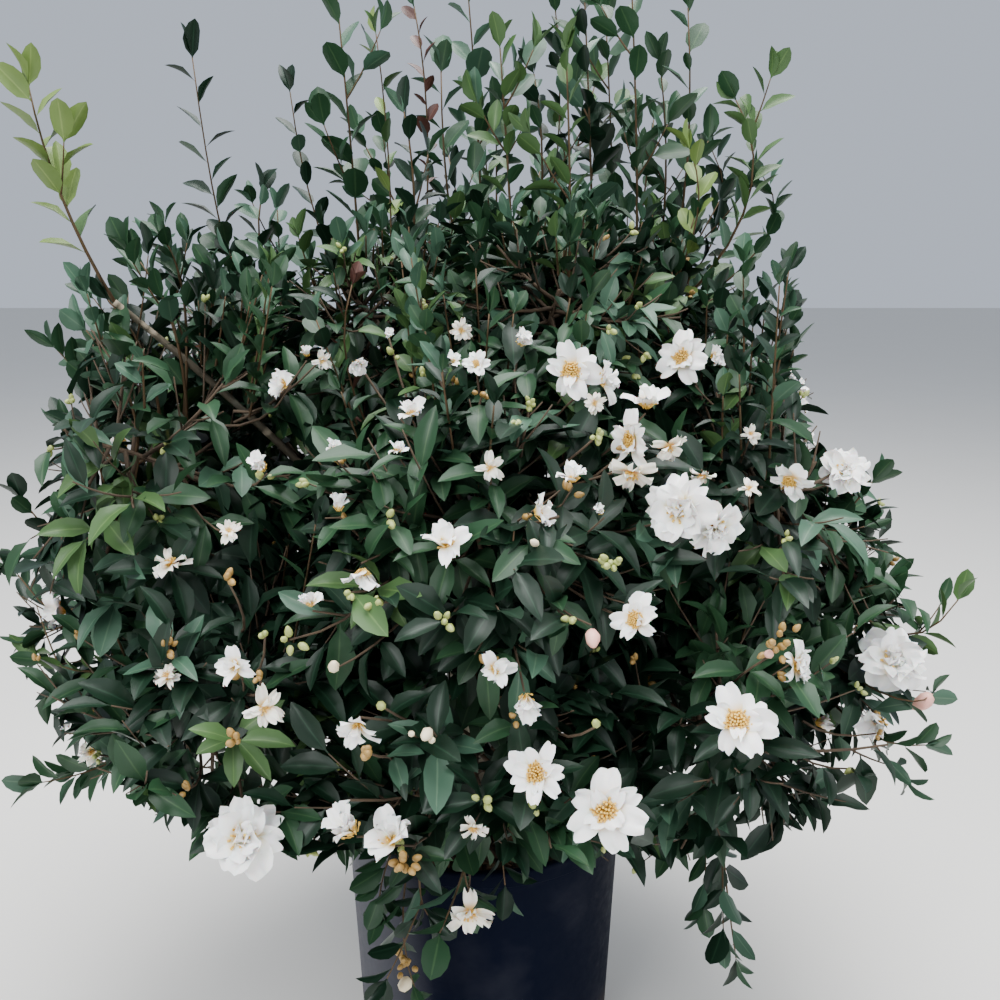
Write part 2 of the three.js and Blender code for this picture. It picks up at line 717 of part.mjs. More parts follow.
// Gives each shoot to the mass it rises from, and each bloom to the mass whose outer face it lies on.
function shareOut(masses) {
  const ownerOf = (point) => masses.find((mass) => !mass.isSpur && inSpace(mass, point, true));
  for (const place of [...UPRIGHT_SHOOTS, ...HANGING_SHOOTS]) {
    const tip = new THREE.Vector3(...place);
    ownerOf(tip)?.shoots.push(tip);
  }
  const spots = [...BLOOMS_SEEN];
  for (let i = 0; i < BLOOMS_FAR.count; i++) {
    const bearing = BLOOMS_FAR.firstBearing + (BLOOMS_FAR.arc * (i + 0.5)) / BLOOMS_FAR.count;
    spots.push([bearing, blend(BLOOMS_FAR.lowest, BLOOMS_FAR.highest, (i * 0.618) % 1)]);
  }
  for (const [bearing, height] of spots) {
    const point = around(bearing, crownReach(height), height);
    const owner = ownerOf(point);
    if (!owner) continue;
    const offset = point.sub(owner.heart);
    offset.clampLength(0, faceDistance(owner, offset));
    owner.blooms.push(clearOfWalls(owner, offset.add(owner.heart), BLOOM.radius + 2));
  }
}

// How far the crown's face lies from its axis at this height.
function crownReach(height) {
  const above = CROWN_FACE.findIndex(([level]) => level >= height);
  if (above < 1) return CROWN_FACE[above < 0 ? CROWN_FACE.length - 1 : 0][1];
  const [[low, near], [high, far]] = CROWN_FACE.slice(above - 1, above + 1);
  return blend(near, far, (height - low) / (high - low));
}

// The point moved back so that it lies at least this far inside every wall of the mass.
function clearOfWalls(mass, point, distance) {
  for (const { normal, offset } of mass.walls) {
    const excess = normal.dot(point) - (offset - distance);
    if (excess > 0) point.addScaledVector(normal, -excess);
  }
  return point;
}

// Cuts each bough clear of the stem and of the boughs before it, so that it starts a clearance away.
function cutClear(stem, boughs) {
  const before = [stem];
  for (const bough of boughs) {
    const cut = before.reduce((solid, limb) => solid.subtract(limb.swollen), bough.solid);
    bough.solid = plainFaces(largestBody(cut));
    before.push(bough);
  }
}

function camellia() {
  const stem = stemLimb();
  const masses = layOutCrown(stem);
  const boughs = masses.map((mass) => mass.bough);
  raiseWalls(masses);
  shareOut(masses);
  cutClear(stem, boughs);
  const group = new THREE.Group();
  group.add(toMesh(potSolid(), "pot", MATERIALS.pot));
  group.add(toMesh(mixSolid(), "potting_mix", MATERIALS.mix));
  for (const limb of [stem, ...boughs]) group.add(toMesh(limb.solid, limb.name, MATERIALS.bark));
  masses.forEach((mass, i) => {
    const random = seededRandom(1200 + 37 * i);
    group.add(toMesh(foliageSolid(mass, [stem, ...boughs], random), mass.name, MATERIALS.leaf));
  });
  return group;
}

export default camellia();
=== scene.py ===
"""A camellia shrub in its nursery pot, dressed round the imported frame.

The stem, the boughs and the spaces of the foliage masses repeat the sizes and rules of the part's
source. From there the masses grow on to finer twigs with leaves, blooms and buds.
Sizes and places are millimetres, +Z up, and the meshes are made from them in metres.
"""

import logging
import math
from dataclasses import dataclass, field
from enum import Enum
from random import Random
from typing import Callable, Iterable, Sequence

import bmesh
import bpy
import numpy as np
from bmesh.types import BMesh, BMFace, BMVert
from bpy.types import Material, Mesh, Node, NodeSocket, NodeTree, Object
from mathutils import Matrix, Vector


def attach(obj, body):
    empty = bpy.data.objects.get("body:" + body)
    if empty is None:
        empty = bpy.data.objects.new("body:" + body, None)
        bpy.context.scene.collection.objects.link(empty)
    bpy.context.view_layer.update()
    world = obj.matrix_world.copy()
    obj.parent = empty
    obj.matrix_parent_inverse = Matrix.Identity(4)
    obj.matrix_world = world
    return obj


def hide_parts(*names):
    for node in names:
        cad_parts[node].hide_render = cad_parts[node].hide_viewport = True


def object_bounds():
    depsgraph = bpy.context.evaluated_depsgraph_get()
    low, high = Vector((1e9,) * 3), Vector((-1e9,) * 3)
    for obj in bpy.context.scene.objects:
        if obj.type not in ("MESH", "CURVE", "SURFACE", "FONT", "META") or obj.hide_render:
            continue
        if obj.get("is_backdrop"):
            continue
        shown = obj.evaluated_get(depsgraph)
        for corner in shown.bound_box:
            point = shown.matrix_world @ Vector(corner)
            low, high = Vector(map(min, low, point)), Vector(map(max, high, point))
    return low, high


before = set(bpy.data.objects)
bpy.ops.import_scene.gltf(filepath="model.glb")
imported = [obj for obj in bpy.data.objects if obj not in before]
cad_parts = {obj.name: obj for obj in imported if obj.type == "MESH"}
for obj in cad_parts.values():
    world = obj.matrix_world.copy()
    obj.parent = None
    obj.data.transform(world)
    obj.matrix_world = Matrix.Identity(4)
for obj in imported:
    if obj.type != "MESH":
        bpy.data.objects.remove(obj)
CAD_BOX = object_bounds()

LOG = logging.getLogger("camellia")
MM = 0.001
GOLDEN_TURN = math.radians(137.508)
UP = np.array([0.0, 0.0, 1.0])
BOX_LOW, BOX_HIGH = (np.array(corner) / MM for corner in CAD_BOX)

# The photo's camera: its place, the picture's width and its focus in pixels, and how far it looks down.
EYE = np.array([26.0, -1510.0, 1235.0])
PICTURE = 1000
FOCUS = 1050
PITCH = 13.65


def unit(vector: np.ndarray) -> np.ndarray:
    """Gives vectors a length of one."""
    return vector / np.linalg.norm(vector, axis=-1, keepdims=True)


def blend(start: float, end: float, share: float) -> float:
    """Gives the value this share of the way from start to end."""
    return start + (end - start) * share


def around(bearing: float, distance: float, height: float, shift: float = 0.0) -> np.ndarray:
    """Gives a point by its bearing about the pot's axis.

    Args:
        bearing: degrees from +X, turning towards +Y.
        distance: from the axis.
        height: above the pot's underside.
        shift: how far the axis lies moved along +X.

    Returns:
        The point.
    """
    angle = math.radians(bearing)
    return np.array([math.cos(angle) * distance + shift, math.sin(angle) * distance, height])


def seen(points: np.ndarray) -> tuple[np.ndarray, np.ndarray]:
    """Gives the column and row at which points show in the picture."""
    slope = math.radians(PITCH)
    offset = points - EYE
    depth = offset[..., 1] * math.cos(slope) - offset[..., 2] * math.sin(slope)
    rise = offset[..., 1] * math.sin(slope) + offset[..., 2] * math.cos(slope)
    return PICTURE / 2 + FOCUS * offset[..., 0] / depth, PICTURE / 2 - FOCUS * rise / depth


def sighted(column: float, row: float, y: float) -> np.ndarray:
    """Gives the point that shows at a place in the picture.

    Args:
        column: across the picture.
        row: down the picture.
        y: how far back the point is.

    Returns:
        The point.
    """
    slope = math.radians(PITCH)
    back = y - EYE[1]
    steep = (PICTURE / 2 - row) / FOCUS
    up = back * (steep * math.cos(slope) - math.sin(slope)) / (math.cos(slope) + steep * math.sin(slope))
    depth = back * math.cos(slope) - up * math.sin(slope)
    return EYE + np.array([(column - PICTURE / 2) / FOCUS * depth, back, up])


class Tone(Enum):
    """The leaf colours, from old wood to new growth; the deep and mid greens also carry painted shade."""

    DEEP = "deep"
    MID = "mid"
    SAGE = "sage"
    FRESH = "fresh"
    YOUNG = "young"
    BRONZE = "bronze"


class Form(Enum):
    """How far a bloom has opened."""

    OPEN = "open"
    FULL = "full"
    CUPPED = "cupped"
    SPENT = "spent"


class BudTone(Enum):
    """The colours of buds."""

    GREEN = "green"
    TAN = "tan"
    CREAM = "cream"
    PINK = "pink"


# The choices' own names, for the tables.
DEEP, MID, SAGE, FRESH, YOUNG, BRONZE = Tone
OPEN, FULL, CUPPED, SPENT = Form
GREEN, TAN, CREAM, PINK = BudTone


@dataclass(frozen=True)
class Pot:
    """Sizes of the round nursery pot and the mix in it."""

    height: float = 390
    base_radius: float = 198
    wall_top_radius: float = 214
    wall: float = 3
    lip_radius: float = 223
    lip_height: float = 24
    lip_round: float = 5
    foot_chamfer: float = 3
    drain_holes: int = 4
    drain_radius: float = 11
    drain_height: float = 20
    mix_below_lip: float = 30

    def wall_at(self, height: float) -> float:
        """Gives the outer wall's radius at a height."""
        return blend(self.base_radius, self.wall_top_radius, height / (self.height - self.lip_height))


POT = Pot()


@dataclass(frozen=True)
class Ring:
    """One ring of foliage masses, as in the part's source."""

    name: str
    bearings: tuple[float, ...]
    sides: tuple[str, ...]
    reach: tuple[float, ...]
    heart: tuple[float, ...]
    size: tuple[float, float, float]
    bough_radius: tuple[float, float]
    entry: float
    bend: float
    facing: float
    axis_shift: float = 0
    root_share: float = 0
    is_main: bool = False


RINGS = (
    Ring(
        name="skirt",
        bearings=(-90, -45, 0, 45, 90, 135, 180, 225),
        sides=("front", "front_right", "right", "back_right", "back", "back_left", "left", "front_left"),
        reach=(600, 655, 700, 690, 645, 700, 740, 690),
        heart=(640, 650, 680, 665, 655, 665, 685, 665),
        size=(265, 215, 215),
        bough_radius=(7.5, 4.6),
        entry=8,
        bend=30,
        facing=-0.1,
        root_share=0.07,
    ),
    Ring(
        name="waist",
        bearings=(-90, -30, 30, 90, 150, 210),
        sides=("front", "front_right", "back_right", "back", "back_left", "front_left"),
        reach=(565, 640, 620, 580, 690, 710),
        heart=(905, 910, 915, 925, 960, 975),
        size=(260, 220, 200),
        bough_radius=(8, 4.6),
        entry=38,
        bend=-10,
        facing=0.35,
        root_share=0.3,
    ),
    Ring(
        name="top",
        bearings=(-75, 15, 105, 195),
        sides=("front", "right", "back", "left"),
        reach=(330, 350, 335, 400),
        heart=(1115, 1105, 1110, 1110),
        size=(205, 190, 160),
        bough_radius=(11.5, 5),
        entry=68,
        bend=-50,
        facing=1.3,
        axis_shift=55,
        is_main=True,
    ),
)


@dataclass(frozen=True)
class Spur:
    """A long shoot that stands off the crown on a bough of its own."""

    name: str
    bough_tip: tuple[float, float, float]
    tip: tuple[float, float, float]
    spread: float
    root_share: float


SPURS = (
    Spur("far_left_shoot", (-462, -160, 1165), (-540, -170, 1370), 85, 0.5),
    Spur("near_left_shoot", (-340, 0, 1205), (-368, 5, 1435), 70, 0.72),
)
SPUR_BOUGH_RADIUS = (6.5, 4.0)
SPUR_BOUGH_BEND = 40

STEM_FLARE_RADIUS = 33
STEM_RADIUS = 19
STEM_HEIGHT = 100
STEM_LEAN = np.array([8.0, 5.0, 0.0])
STEM_FLARE_SHARE = 0.35

FORK_SHARE = 0.9
ELBOW_SHARE = 0.4
ROOT_STEP = 0.05
MASS_STEM_SHARE = 0.4
MASS_STEM_BEND = 0.45

CORE_SHARE = 0.33
CORE_ROUGHNESS = 0.34
CORE_BOUGH_GAP = 8
CLEARANCE = 0.3
SPACE_MARGIN = 1.2


@dataclass(frozen=True)
class Shoot:
    """A long shoot or a loose spray, by the places in the picture of its tip and of its bend.

    y is how far back it is, spacing the way between two leaves, sides the number of its side shoots, and
    mass the foliage mass it grows from, if that isn't the one nearest to its bend. buds are its groups of
    buds: how far along, colour, count and size.
    """

    tip: tuple[float, float]
    bend: tuple[float, float]
    y: float
    tone: Tone
    leaf_length: tuple[float, float] = (36, 48)
    spacing: float = 18
    sides: int = 1
    mass: str = ""
    buds: tuple[tuple[float, BudTone, int, float], ...] = ()

    @classmethod
    def unseen(cls, tone: Tone, leaf_length: tuple[float, float], spacing: float, sides: int) -> "Shoot":
        """Gives a shoot that has no place in the picture."""
        return cls((0, 0), (0, 0), 0, tone, leaf_length, spacing, sides)


HANGING_BUDS = ((0.73, TAN, 9, 12), (0.8, CREAM, 1, 29))
PINK_TIP_BUD = ((0.97, PINK, 1, 24),)
SHOOTS_SEEN = (
    Shoot((28, 84), (62, 198), -165, YOUNG, (50, 62), 17, 1, "far_left_shoot"),
    Shoot((192, 56), (218, 215), 5, DEEP, (46, 58), 15, 0, "near_left_shoot"),
    Shoot((290, 92), (318, 225), 60, DEEP, (35, 50), 24, 0),
    Shoot((336, -10), (358, 235), -40, MID, (45, 64), 19, 2),
    Shoot((376, 34), (390, 190), 90, YOUNG, (38, 50), 32, 0),
    Shoot((414, 6), (428, 160), -60, BRONZE, (21, 35), 19, 0),
    Shoot((441, 70), (452, 225), 30, SAGE, (47, 64), 20, 1),
    Shoot((467, -20), (480, 180), 120, SAGE, (50, 66), 22, 1),
    Shoot((500, 48), (510, 205), -100, FRESH, (40, 54), 16, 2),
    Shoot((553, -12), (557, 160), 150, DEEP, (33, 47), 26, 0),
    Shoot((584, -14), (592, 220), 20, DEEP, (45, 61), 17, 2),
    Shoot((630, -55), (637, 225), -30, MID, (45, 61), 16, 3),
    Shoot((606, 22), (613, 205), 140, MID, (42, 57), 19, 1),
    Shoot((688, 8), (683, 205), 40, MID, (40, 57), 19, 1),
    Shoot((690, 150), (692, 240), -80, YOUNG, (40, 50), 24, 0),
    Shoot((736, 100), (743, 215), -20, FRESH, (40, 54), 14, 1),
    Shoot((660, 62), (664, 215), 90, MID, (40, 52), 18, 1),
    Shoot((534, 74), (541, 205), 60, DEEP, (42, 54), 17, 1),
    Shoot((566, 50), (570, 205), -120, FRESH, (35, 50), 18, 1),
    Shoot((404, 112), (414, 225), -130, DEEP, (40, 54), 17, 1),
    Shoot((482, 112), (489, 215), 180, FRESH, (40, 52), 17, 0),
    Shoot((712, 150), (716, 235), 160, DEEP, (38, 52), 17, 0),
    Shoot((764, 178), (758, 250), 60, MID, (35, 50), 17, 0),
    Shoot((262, 190), (274, 290), -60, DEEP, (34, 46), 15, 1),
    Shoot((140, 262), (178, 345), -200, MID, (40, 54), 14, 1, "waist_front_left"),
    Shoot((86, 330), (130, 400), -220, SAGE, (40, 54), 14, 1, "waist_front_left"),
    Shoot((352, 285), (356, 400), -270, BRONZE, (26, 34), 40, 0, "waist_front"),
    Shoot((160, 235), (185, 310), -120, MID, (36, 50), 15, 1, "waist_front_left"),
    Shoot((108, 300), (150, 370), -160, DEEP, (36, 50), 15, 1, "waist_front_left"),
    Shoot((958, 600), (880, 628), -150, FRESH, (38, 54), 18, 1, "waist_front_right"),
    Shoot((872, 482), (815, 530), -170, MID, (42, 58), 16, 1, "waist_front_right"),
    Shoot((852, 578), (800, 590), -210, MID, (42, 58), 15, 1, "waist_front_right"),
    Shoot((22, 500), (90, 545), -150, DEEP, (36, 50), 16, 1, "waist_front_left"),
    Shoot((18, 575), (90, 610), -140, MID, (36, 50), 16, 1, "waist_front_left"),
    Shoot((34, 655), (110, 670), -200, FRESH, (36, 50), 16, 1, "skirt_left"),
    Shoot((78, 770), (150, 745), -210, MID, (40, 56), 16, 1, "skirt_front_left"),
    Shoot((736, 958), (722, 840), -200, DEEP, (46, 62), 24, 1, "skirt_front_right"),
    Shoot((704, 905), (706, 830), -180, MID, (44, 58), 20, 0, "skirt_front_right"),
    Shoot((428, 1015), (403, 905), -275, MID, (40, 56), 17, 0, "skirt_front", HANGING_BUDS),
    Shoot((380, 905), (392, 850), -270, MID, (42, 60), 17, 0, "skirt_front"),
    Shoot((428, 915), (420, 860), -300, DEEP, (42, 58), 15, 1, "skirt_front"),
    Shoot((470, 893), (462, 842), -440, MID, (44, 60), 15, 1, "skirt_front"),
    Shoot((505, 885), (500, 830), -262, DEEP, (46, 60), 24, 0, "skirt_front"),
    Shoot((925, 745), (850, 720), -170, MID, (42, 58), 17, 1, "skirt_right"),
    Shoot((932, 694), (880, 692), -225, MID, (36, 48), 16, 0, "skirt_right", PINK_TIP_BUD),
    Shoot((800, 800), (760, 760), -230, DEEP, (46, 62), 17, 1, "skirt_front_right"),
    *(
        Shoot(*row, (38, 52), 12, 1, "waist_back_left")
        for row in (
            ((128, 292), (158, 372), -90, MID), ((170, 270), (190, 350), -70, DEEP),
            ((206, 286), (224, 368), -50, MID), ((240, 300), (248, 388), -30, SAGE),
            ((98, 352), (135, 415), -110, MID), ((150, 352), (172, 420), -60, DEEP),
            ((205, 352), (215, 425), -20, MID), ((268, 338), (262, 420), 0, DEEP),
        )
    ),
    Shoot((70, 425), (120, 462), -120, DEEP, (38, 52), 13, 1, "waist_front_left"),
)
# Tips of shoots that rise at the back, with their tones.
BACK_SHOOTS = (
    (-190, 190, 1400, MID),
    (20, 270, 1450, SAGE),
    (175, 240, 1480, FRESH),
    (-60, 330, 1380, DEEP),
    (260, 180, 1420, MID),
    (95, 380, 1360, FRESH),
    (-330, 230, 1290, SAGE),
    (360, 150, 1300, DEEP),
)


@dataclass(frozen=True)
class Outline:
    """How far the close foliage goes as the eye sees it, by picture row and column."""

    rows: tuple[float, ...] = (150, 240, 300, 340, 430, 500, 600, 700, 780, 860)
    left: tuple[float, ...] = (310, 215, 125, 88, 62, 25, 18, 32, 82, 205)
    right: tuple[float, ...] = (770, 785, 798, 802, 815, 880, 905, 940, 900, 800)
    columns: tuple[float, ...] = (0, 100, 200, 300, 400, 500, 600, 700, 790, 900, 1000)
    top: tuple[float, ...] = (430, 305, 265, 246, 236, 226, 218, 226, 268, 440, 480)
    bottom: tuple[float, ...] = (745, 792, 835, 850, 862, 850, 855, 858, 832, 778, 700)

    def holds(self, points: np.ndarray, room: float) -> bool:
        """Tells whether all points show inside the outline, grown by some room.

        Args:
            points: the points.
            room: by how many pixels the outline grows.

        Returns:
            Whether they do.
        """
        column, row = seen(points)
        left = np.interp(row, self.rows, self.left) - room
        right = np.interp(row, self.rows, self.right) + room
        top = np.interp(column, self.columns, self.top) - room
        bottom = np.interp(column, self.columns, self.bottom) + room
        return bool(((column > left) & (column < right) & (row > top) & (row < bottom)).all())


OUTLINE = Outline()

# How far the crown's face lies from its axis, at some heights.
FACE_HEIGHTS = (380, 520, 620, 760, 900, 1000, 1080, 1150)
FACE_REACHES = (330, 490, 575, 590, 545, 480, 405, 320)


def crown_point(bearing: float, height: float) -> np.ndarray:
    """Gives the point on the crown's face at a bearing and a height."""
    return around(bearing, float(np.interp(height, FACE_HEIGHTS, FACE_REACHES)), height)


@dataclass(frozen=True)
class Bend:
    """A smooth curve with one bend."""

    root: np.ndarray
    middle: np.ndarray
    tip: np.ndarray

    def at(self, along: float | np.ndarray) -> np.ndarray:
        """Gives points on the curve.

        Args:
            along: shares of the way from root to tip.

        Returns:
            One point for each share.
        """
        t = np.asarray(along, float)[..., None]
        return (1 - t) ** 2 * self.root + 2 * t * (1 - t) * self.middle + t**2 * self.tip

    def heading(self, along: float | np.ndarray) -> np.ndarray:
        """Gives the way the curve runs at some shares of its length."""
        t = np.asarray(along, float)[..., None]
        return unit((1 - t) * (self.middle - self.root) + t * (self.tip - self.middle))

    def length(self) -> float:
        """Gives the curve's length."""
        return float(np.linalg.norm(np.diff(self.at(np.linspace(0, 1, 9)), axis=0), axis=1).sum())


@dataclass
class Mass:
    """A foliage mass: its space, the stem in it and the bough that carries it."""

    name: str
    tier: str
    heart: np.ndarray
    size: np.ndarray
    axes: np.ndarray
    facing: np.ndarray
    bough: Bend
    bough_radius: tuple[float, float]
    stem: Bend
    is_spur: bool = False
    normals: np.ndarray = field(default_factory=lambda: np.zeros((0, 3)))
    offsets: np.ndarray = field(default_factory=lambda: np.zeros(0))

    def face_share(self, points: np.ndarray) -> np.ndarray:
        """Gives how far out points lie, as a share of the way to the mass's outer face."""
        return np.linalg.norm((points - self.heart) @ self.axes.T / self.size, axis=-1)

    def support(self, direction: np.ndarray) -> float:
        """Gives how far the mass reaches from its heart along a direction."""
        return float(np.linalg.norm(self.axes @ direction * self.size))

    def within_walls(self, points: np.ndarray) -> np.ndarray:
        """Tells which points lie on the mass's side of every wall."""
        return (np.atleast_2d(points) @ self.normals.T < self.offsets).all(axis=-1)

    def reach(self, direction: np.ndarray) -> float:
        """Gives how far the space goes on from the heart before its face or a wall."""
        reach = 1 / float(np.linalg.norm(self.axes @ direction / self.size))
        closing = self.normals @ direction
        ahead = closing > 0
        gaps = (self.offsets - self.normals @ self.heart)[ahead] / closing[ahead]
        return min([reach, *gaps])


class Skeleton:
    """The stem, the boughs and the masses, laid out as in the part's source."""

    def __init__(self) -> None:
        """Lays out the whole skeleton."""
        foot = np.array([0, 0, POT.height - POT.mix_below_lip + CLEARANCE])
        fork = foot + STEM_LEAN + UP * STEM_HEIGHT
        self.stem = Bend(foot, foot + UP * STEM_HEIGHT / 2, fork)
        self.mains: list[Bend] = []
        self.masses: list[Mass] = []
        for ring in reversed(RINGS):
            for side in range(len(ring.bearings)):
                self.masses.append(self.ring_mass(ring, side))
        for spur in SPURS:
            self.masses.append(self.spur_mass(spur))
        self.raise_walls()

    def nearest_main(self, point: np.ndarray) -> Bend:
        """Gives the main bough whose tip lies nearest to a point, seen from above."""
        return min(self.mains, key=lambda bough: float(np.linalg.norm((bough.tip - point)[:2])))

    def ring_mass(self, ring: Ring, side: int) -> Mass:
        """Lays out one mass of a ring and its bough.

        Args:
            ring: the ring.
            side: the mass's place in the ring.

        Returns:
            The mass.
        """
        size = np.array(ring.size, float)
        out = ring.reach[side] - size[0]
        bearing = ring.bearings[side]
        heart = around(bearing, out, ring.heart[side], ring.axis_shift)
        outward = around(bearing, 1, 0)
        axes = np.array([outward, np.cross(UP, outward), UP])
        facing = unit(outward + UP * ring.facing)
        slope = math.radians(ring.entry)
        inward = -outward * math.cos(slope) - UP * math.sin(slope)
        core_edge = CORE_SHARE * (1 + CORE_ROUGHNESS) / np.linalg.norm(axes @ inward / size)
        tip = heart + inward * (core_edge + CORE_BOUGH_GAP)
        if ring.is_main:
            root = self.stem.at(FORK_SHARE)
            elbow = around(bearing, out, blend(root[2], tip[2], ELBOW_SHARE), ring.axis_shift)
            middle = ((root + tip) / 2 + UP * ring.bend + elbow) / 2
        else:
            root = self.nearest_main(tip).at(ring.root_share + ROOT_STEP * (side % 3))
            middle = (root + tip) / 2 + UP * ring.bend
        bough = Bend(root, middle, tip)
        if ring.is_main:
            self.mains.append(bough)
        name = f"{ring.name}_{ring.sides[side]}"
        stem = self.mass_stem(bough, heart + facing * MASS_STEM_SHARE * size[0])
        return Mass(name, ring.name, heart, size, axes, facing, bough, ring.bough_radius, stem)

    def spur_mass(self, spur: Spur) -> Mass:
        """Lays out a mass that is one long shoot, and its bough."""
        bough_tip = np.array(spur.bough_tip, float)
        tip = np.array(spur.tip, float)
        size = np.array([spur.spread, spur.spread, (tip[2] - bough_tip[2]) * 0.56])
        heart = blend(bough_tip, tip, 0.52)
        outward = around(180, 1, 0)
        axes = np.array([outward, np.cross(UP, outward), UP])
        root = self.nearest_main(bough_tip).at(spur.root_share)
        bough = Bend(root, (root + bough_tip) / 2 + UP * SPUR_BOUGH_BEND, bough_tip)
        stem = self.mass_stem(bough, blend(bough_tip, tip, 0.35))
        facing = unit(tip - bough_tip)
        return Mass(spur.name, "top", heart, size, axes, facing, bough, SPUR_BOUGH_RADIUS, stem, True)

    @staticmethod
    def mass_stem(bough: Bend, end: np.ndarray) -> Bend:
        """Gives the stem that runs on from a bough's tip into its mass."""
        heading = bough.heading(1)
        way = heading * np.linalg.norm(end - bough.tip) * MASS_STEM_BEND
        return Bend(bough.tip, bough.tip + way, end)

    def raise_walls(self) -> None:
        """Parts each pair of masses by a flat wall between their hearts."""
        for mass in self.masses:
            normals = []
            offsets = []
            for other in self.masses:
                if other is mass:
                    continue
                gap = other.heart - mass.heart
                is_beside = np.linalg.norm(gap[:2]) > 0.8 * abs(gap[2])
                if mass.is_spur or other.is_spur:
                    gap = gap * ((1, 1, 0) if is_beside else UP)
                normal = unit(gap)
                share = mass.support(normal) / (mass.support(normal) + other.support(normal))
                normals.append(normal)
                offsets.append(normal @ mass.heart + np.linalg.norm(gap) * share - SPACE_MARGIN)
            mass.normals = np.array(normals)
            mass.offsets = np.array(offsets)

    def owner_of(self, point: np.ndarray) -> Mass:
        """Gives the mass whose walls hold a point, or the nearest mass."""
        grown = [mass for mass in self.masses if not mass.is_spur]
        holders = [mass for mass in grown if mass.within_walls(point).all()]
        return min(holders or grown, key=lambda mass: float(mass.face_share(point)))


@dataclass(frozen=True)
class BloomSpot:
    """A bloom by its bearing and height on the crown's face.

    turn and nod say how far it faces to the right of the eye and up, in degrees. clear is the share of it
    that leaves stay off.
    """

    bearing: float
    height: float
    form: Form
    diameter: float
    turn: float = 0
    nod: float = 0
    clear: float = 0.8


BLOOMS_SEEN = tuple(
    BloomSpot(*row)
    for row in (
        (-74, 1101, OPEN, 66, -10, 5, 1.0), (-70, 1092, CUPPED, 55, 75, 10, 0.6),
        (-50, 1108, OPEN, 63, -22, 5, 1.0), (-42, 1105, CUPPED, 36, 60, 0, 0.6),
        (-64, 1063, CUPPED, 61, 10, 72, 0.9), (-68, 1036, OPEN, 61, -55, -15, 0.95),
        (-70, 1006, SPENT, 54, -20, -60, 0.9), (-63, 1026, SPENT, 39, 30, -40, 0.8),
        (-60, 997, SPENT, 30, 20, -70, 0.8), (-78, 1001, CUPPED, 45, -10, 75, 0.9),
        (-83, 975, CUPPED, 46, 80, 10, 0.85), (-75, 971, CUPPED, 22, -30, 40, 0.8),
        (-65, 968, FULL, 77, -15, 0, 1.0), (-61, 948, FULL, 71, 35, -25, 0.95),
        (-82, 1128, CUPPED, 38, 20, 40, 0.7), (-72, 1071, SPENT, 26, 0, 0, 0.6),
        (-47, 1026, SPENT, 25, 0, 20, 0.6), (-53, 977, SPENT, 26, 0, 40, 0.6),
        (-44, 976, OPEN, 52, -15, -40, 0.9), (-26, 956, FULL, 73, 10, 25, 1.0),
        (-54, 801, FULL, 55, 72, 5, 0.9), (-63, 762, OPEN, 78, 0, 15, 1.0),
        (-25, 713, FULL, 100, 15, 20, 1.0), (-24, 627, CUPPED, 80, -20, -15, 0.95),
        (-73, 875, OPEN, 54, -35, 5, 0.85), (-84, 735, OPEN, 62, -5, 10, 1.0),
        (-77, 688, OPEN, 80, -5, -5, 1.0), (-115, 631, FULL, 88, -5, 5, 1.0),
        (-101, 785, CUPPED, 50, -35, -55, 0.9), (-102, 662, CUPPED, 70, -40, 35, 0.85),
        (-98, 657, CUPPED, 70, -25, 40, 0.85), (-91, 514, SPENT, 60, 15, -50, 0.9),
        (-118, 1003, CUPPED, 42, -40, 40, 0.8), (-127, 903, SPENT, 46, -40, 60, 0.8),
        (-120, 943, SPENT, 30, 0, 30, 0.6), (-106, 973, CUPPED, 36, 0, 80, 0.8),
        (-102, 924, CUPPED, 50, 20, -75, 0.9), (-93, 947, CUPPED, 56, 0, 35, 0.65),
        (-88, 1015, SPENT, 32, 0, 10, 0.7), (-107, 888, CUPPED, 36, -20, 60, 0.8),
        (-115, 821, CUPPED, 46, -25, 0, 0.9), (-111, 787, SPENT, 44, 10, -10, 0.9),
        (-124, 794, SPENT, 33, -20, 30, 0.7), (-88, 836, CUPPED, 42, 20, 10, 0.5),
        (-85, 813, CUPPED, 54, 10, -45, 0.5), (-90, 677, SPENT, 32, -20, -60, 0.6),
        (-122, 1083, CUPPED, 46, -60, 10, 0.65), (-122, 1112, CUPPED, 24, 0, 60, 0.5),
        (-111, 1109, CUPPED, 34, 10, -30, 0.6), (-99, 1061, CUPPED, 40, -10, 60, 0.55),
        (-107, 1136, CUPPED, 22, 0, 30, 0.5), (-93, 1143, SPENT, 28, 0, 0, 0.5),
        (-94, 1111, CUPPED, 26, 0, 50, 0.5), (-90, 1109, OPEN, 30, 0, 20, 0.6),
        (-109, 1027, CUPPED, 26, 0, 40, 0.5), (-100, 1028, CUPPED, 26, 0, 60, 0.5),
        (-118, 1109, SPENT, 24, 0, -20, 0.5), (-147, 620, SPENT, 38, -20, 10, 0.5),
    )
)


@dataclass(frozen=True)
class FarBlooms:
    """Blooms on the sides and back, spread evenly over the crown's face."""

    count: int = 58
    first_bearing: float = -8
    arc: float = 212
    lowest: float = 520
    highest: float = 1130
    diameter: tuple[float, float] = (40, 84)

    def spots(self, rng: Random) -> list[BloomSpot]:
        """Deals the blooms out, each with a form, a size and a way to face."""
        forms = (CUPPED, OPEN, SPENT, CUPPED, FULL, CUPPED)
        spots = []
        for i in range(self.count):
            bearing = self.first_bearing + self.arc * (i + 0.5) / self.count + rng.uniform(-3, 3)
            height = blend(self.lowest, self.highest, (i * 0.618) % 1) + rng.uniform(-50, 40)
            diameter = rng.uniform(*self.diameter)
            spots.append(BloomSpot(bearing, height, forms[i % 6], diameter, 0, 0, rng.uniform(0.5, 1.0)))
        return spots


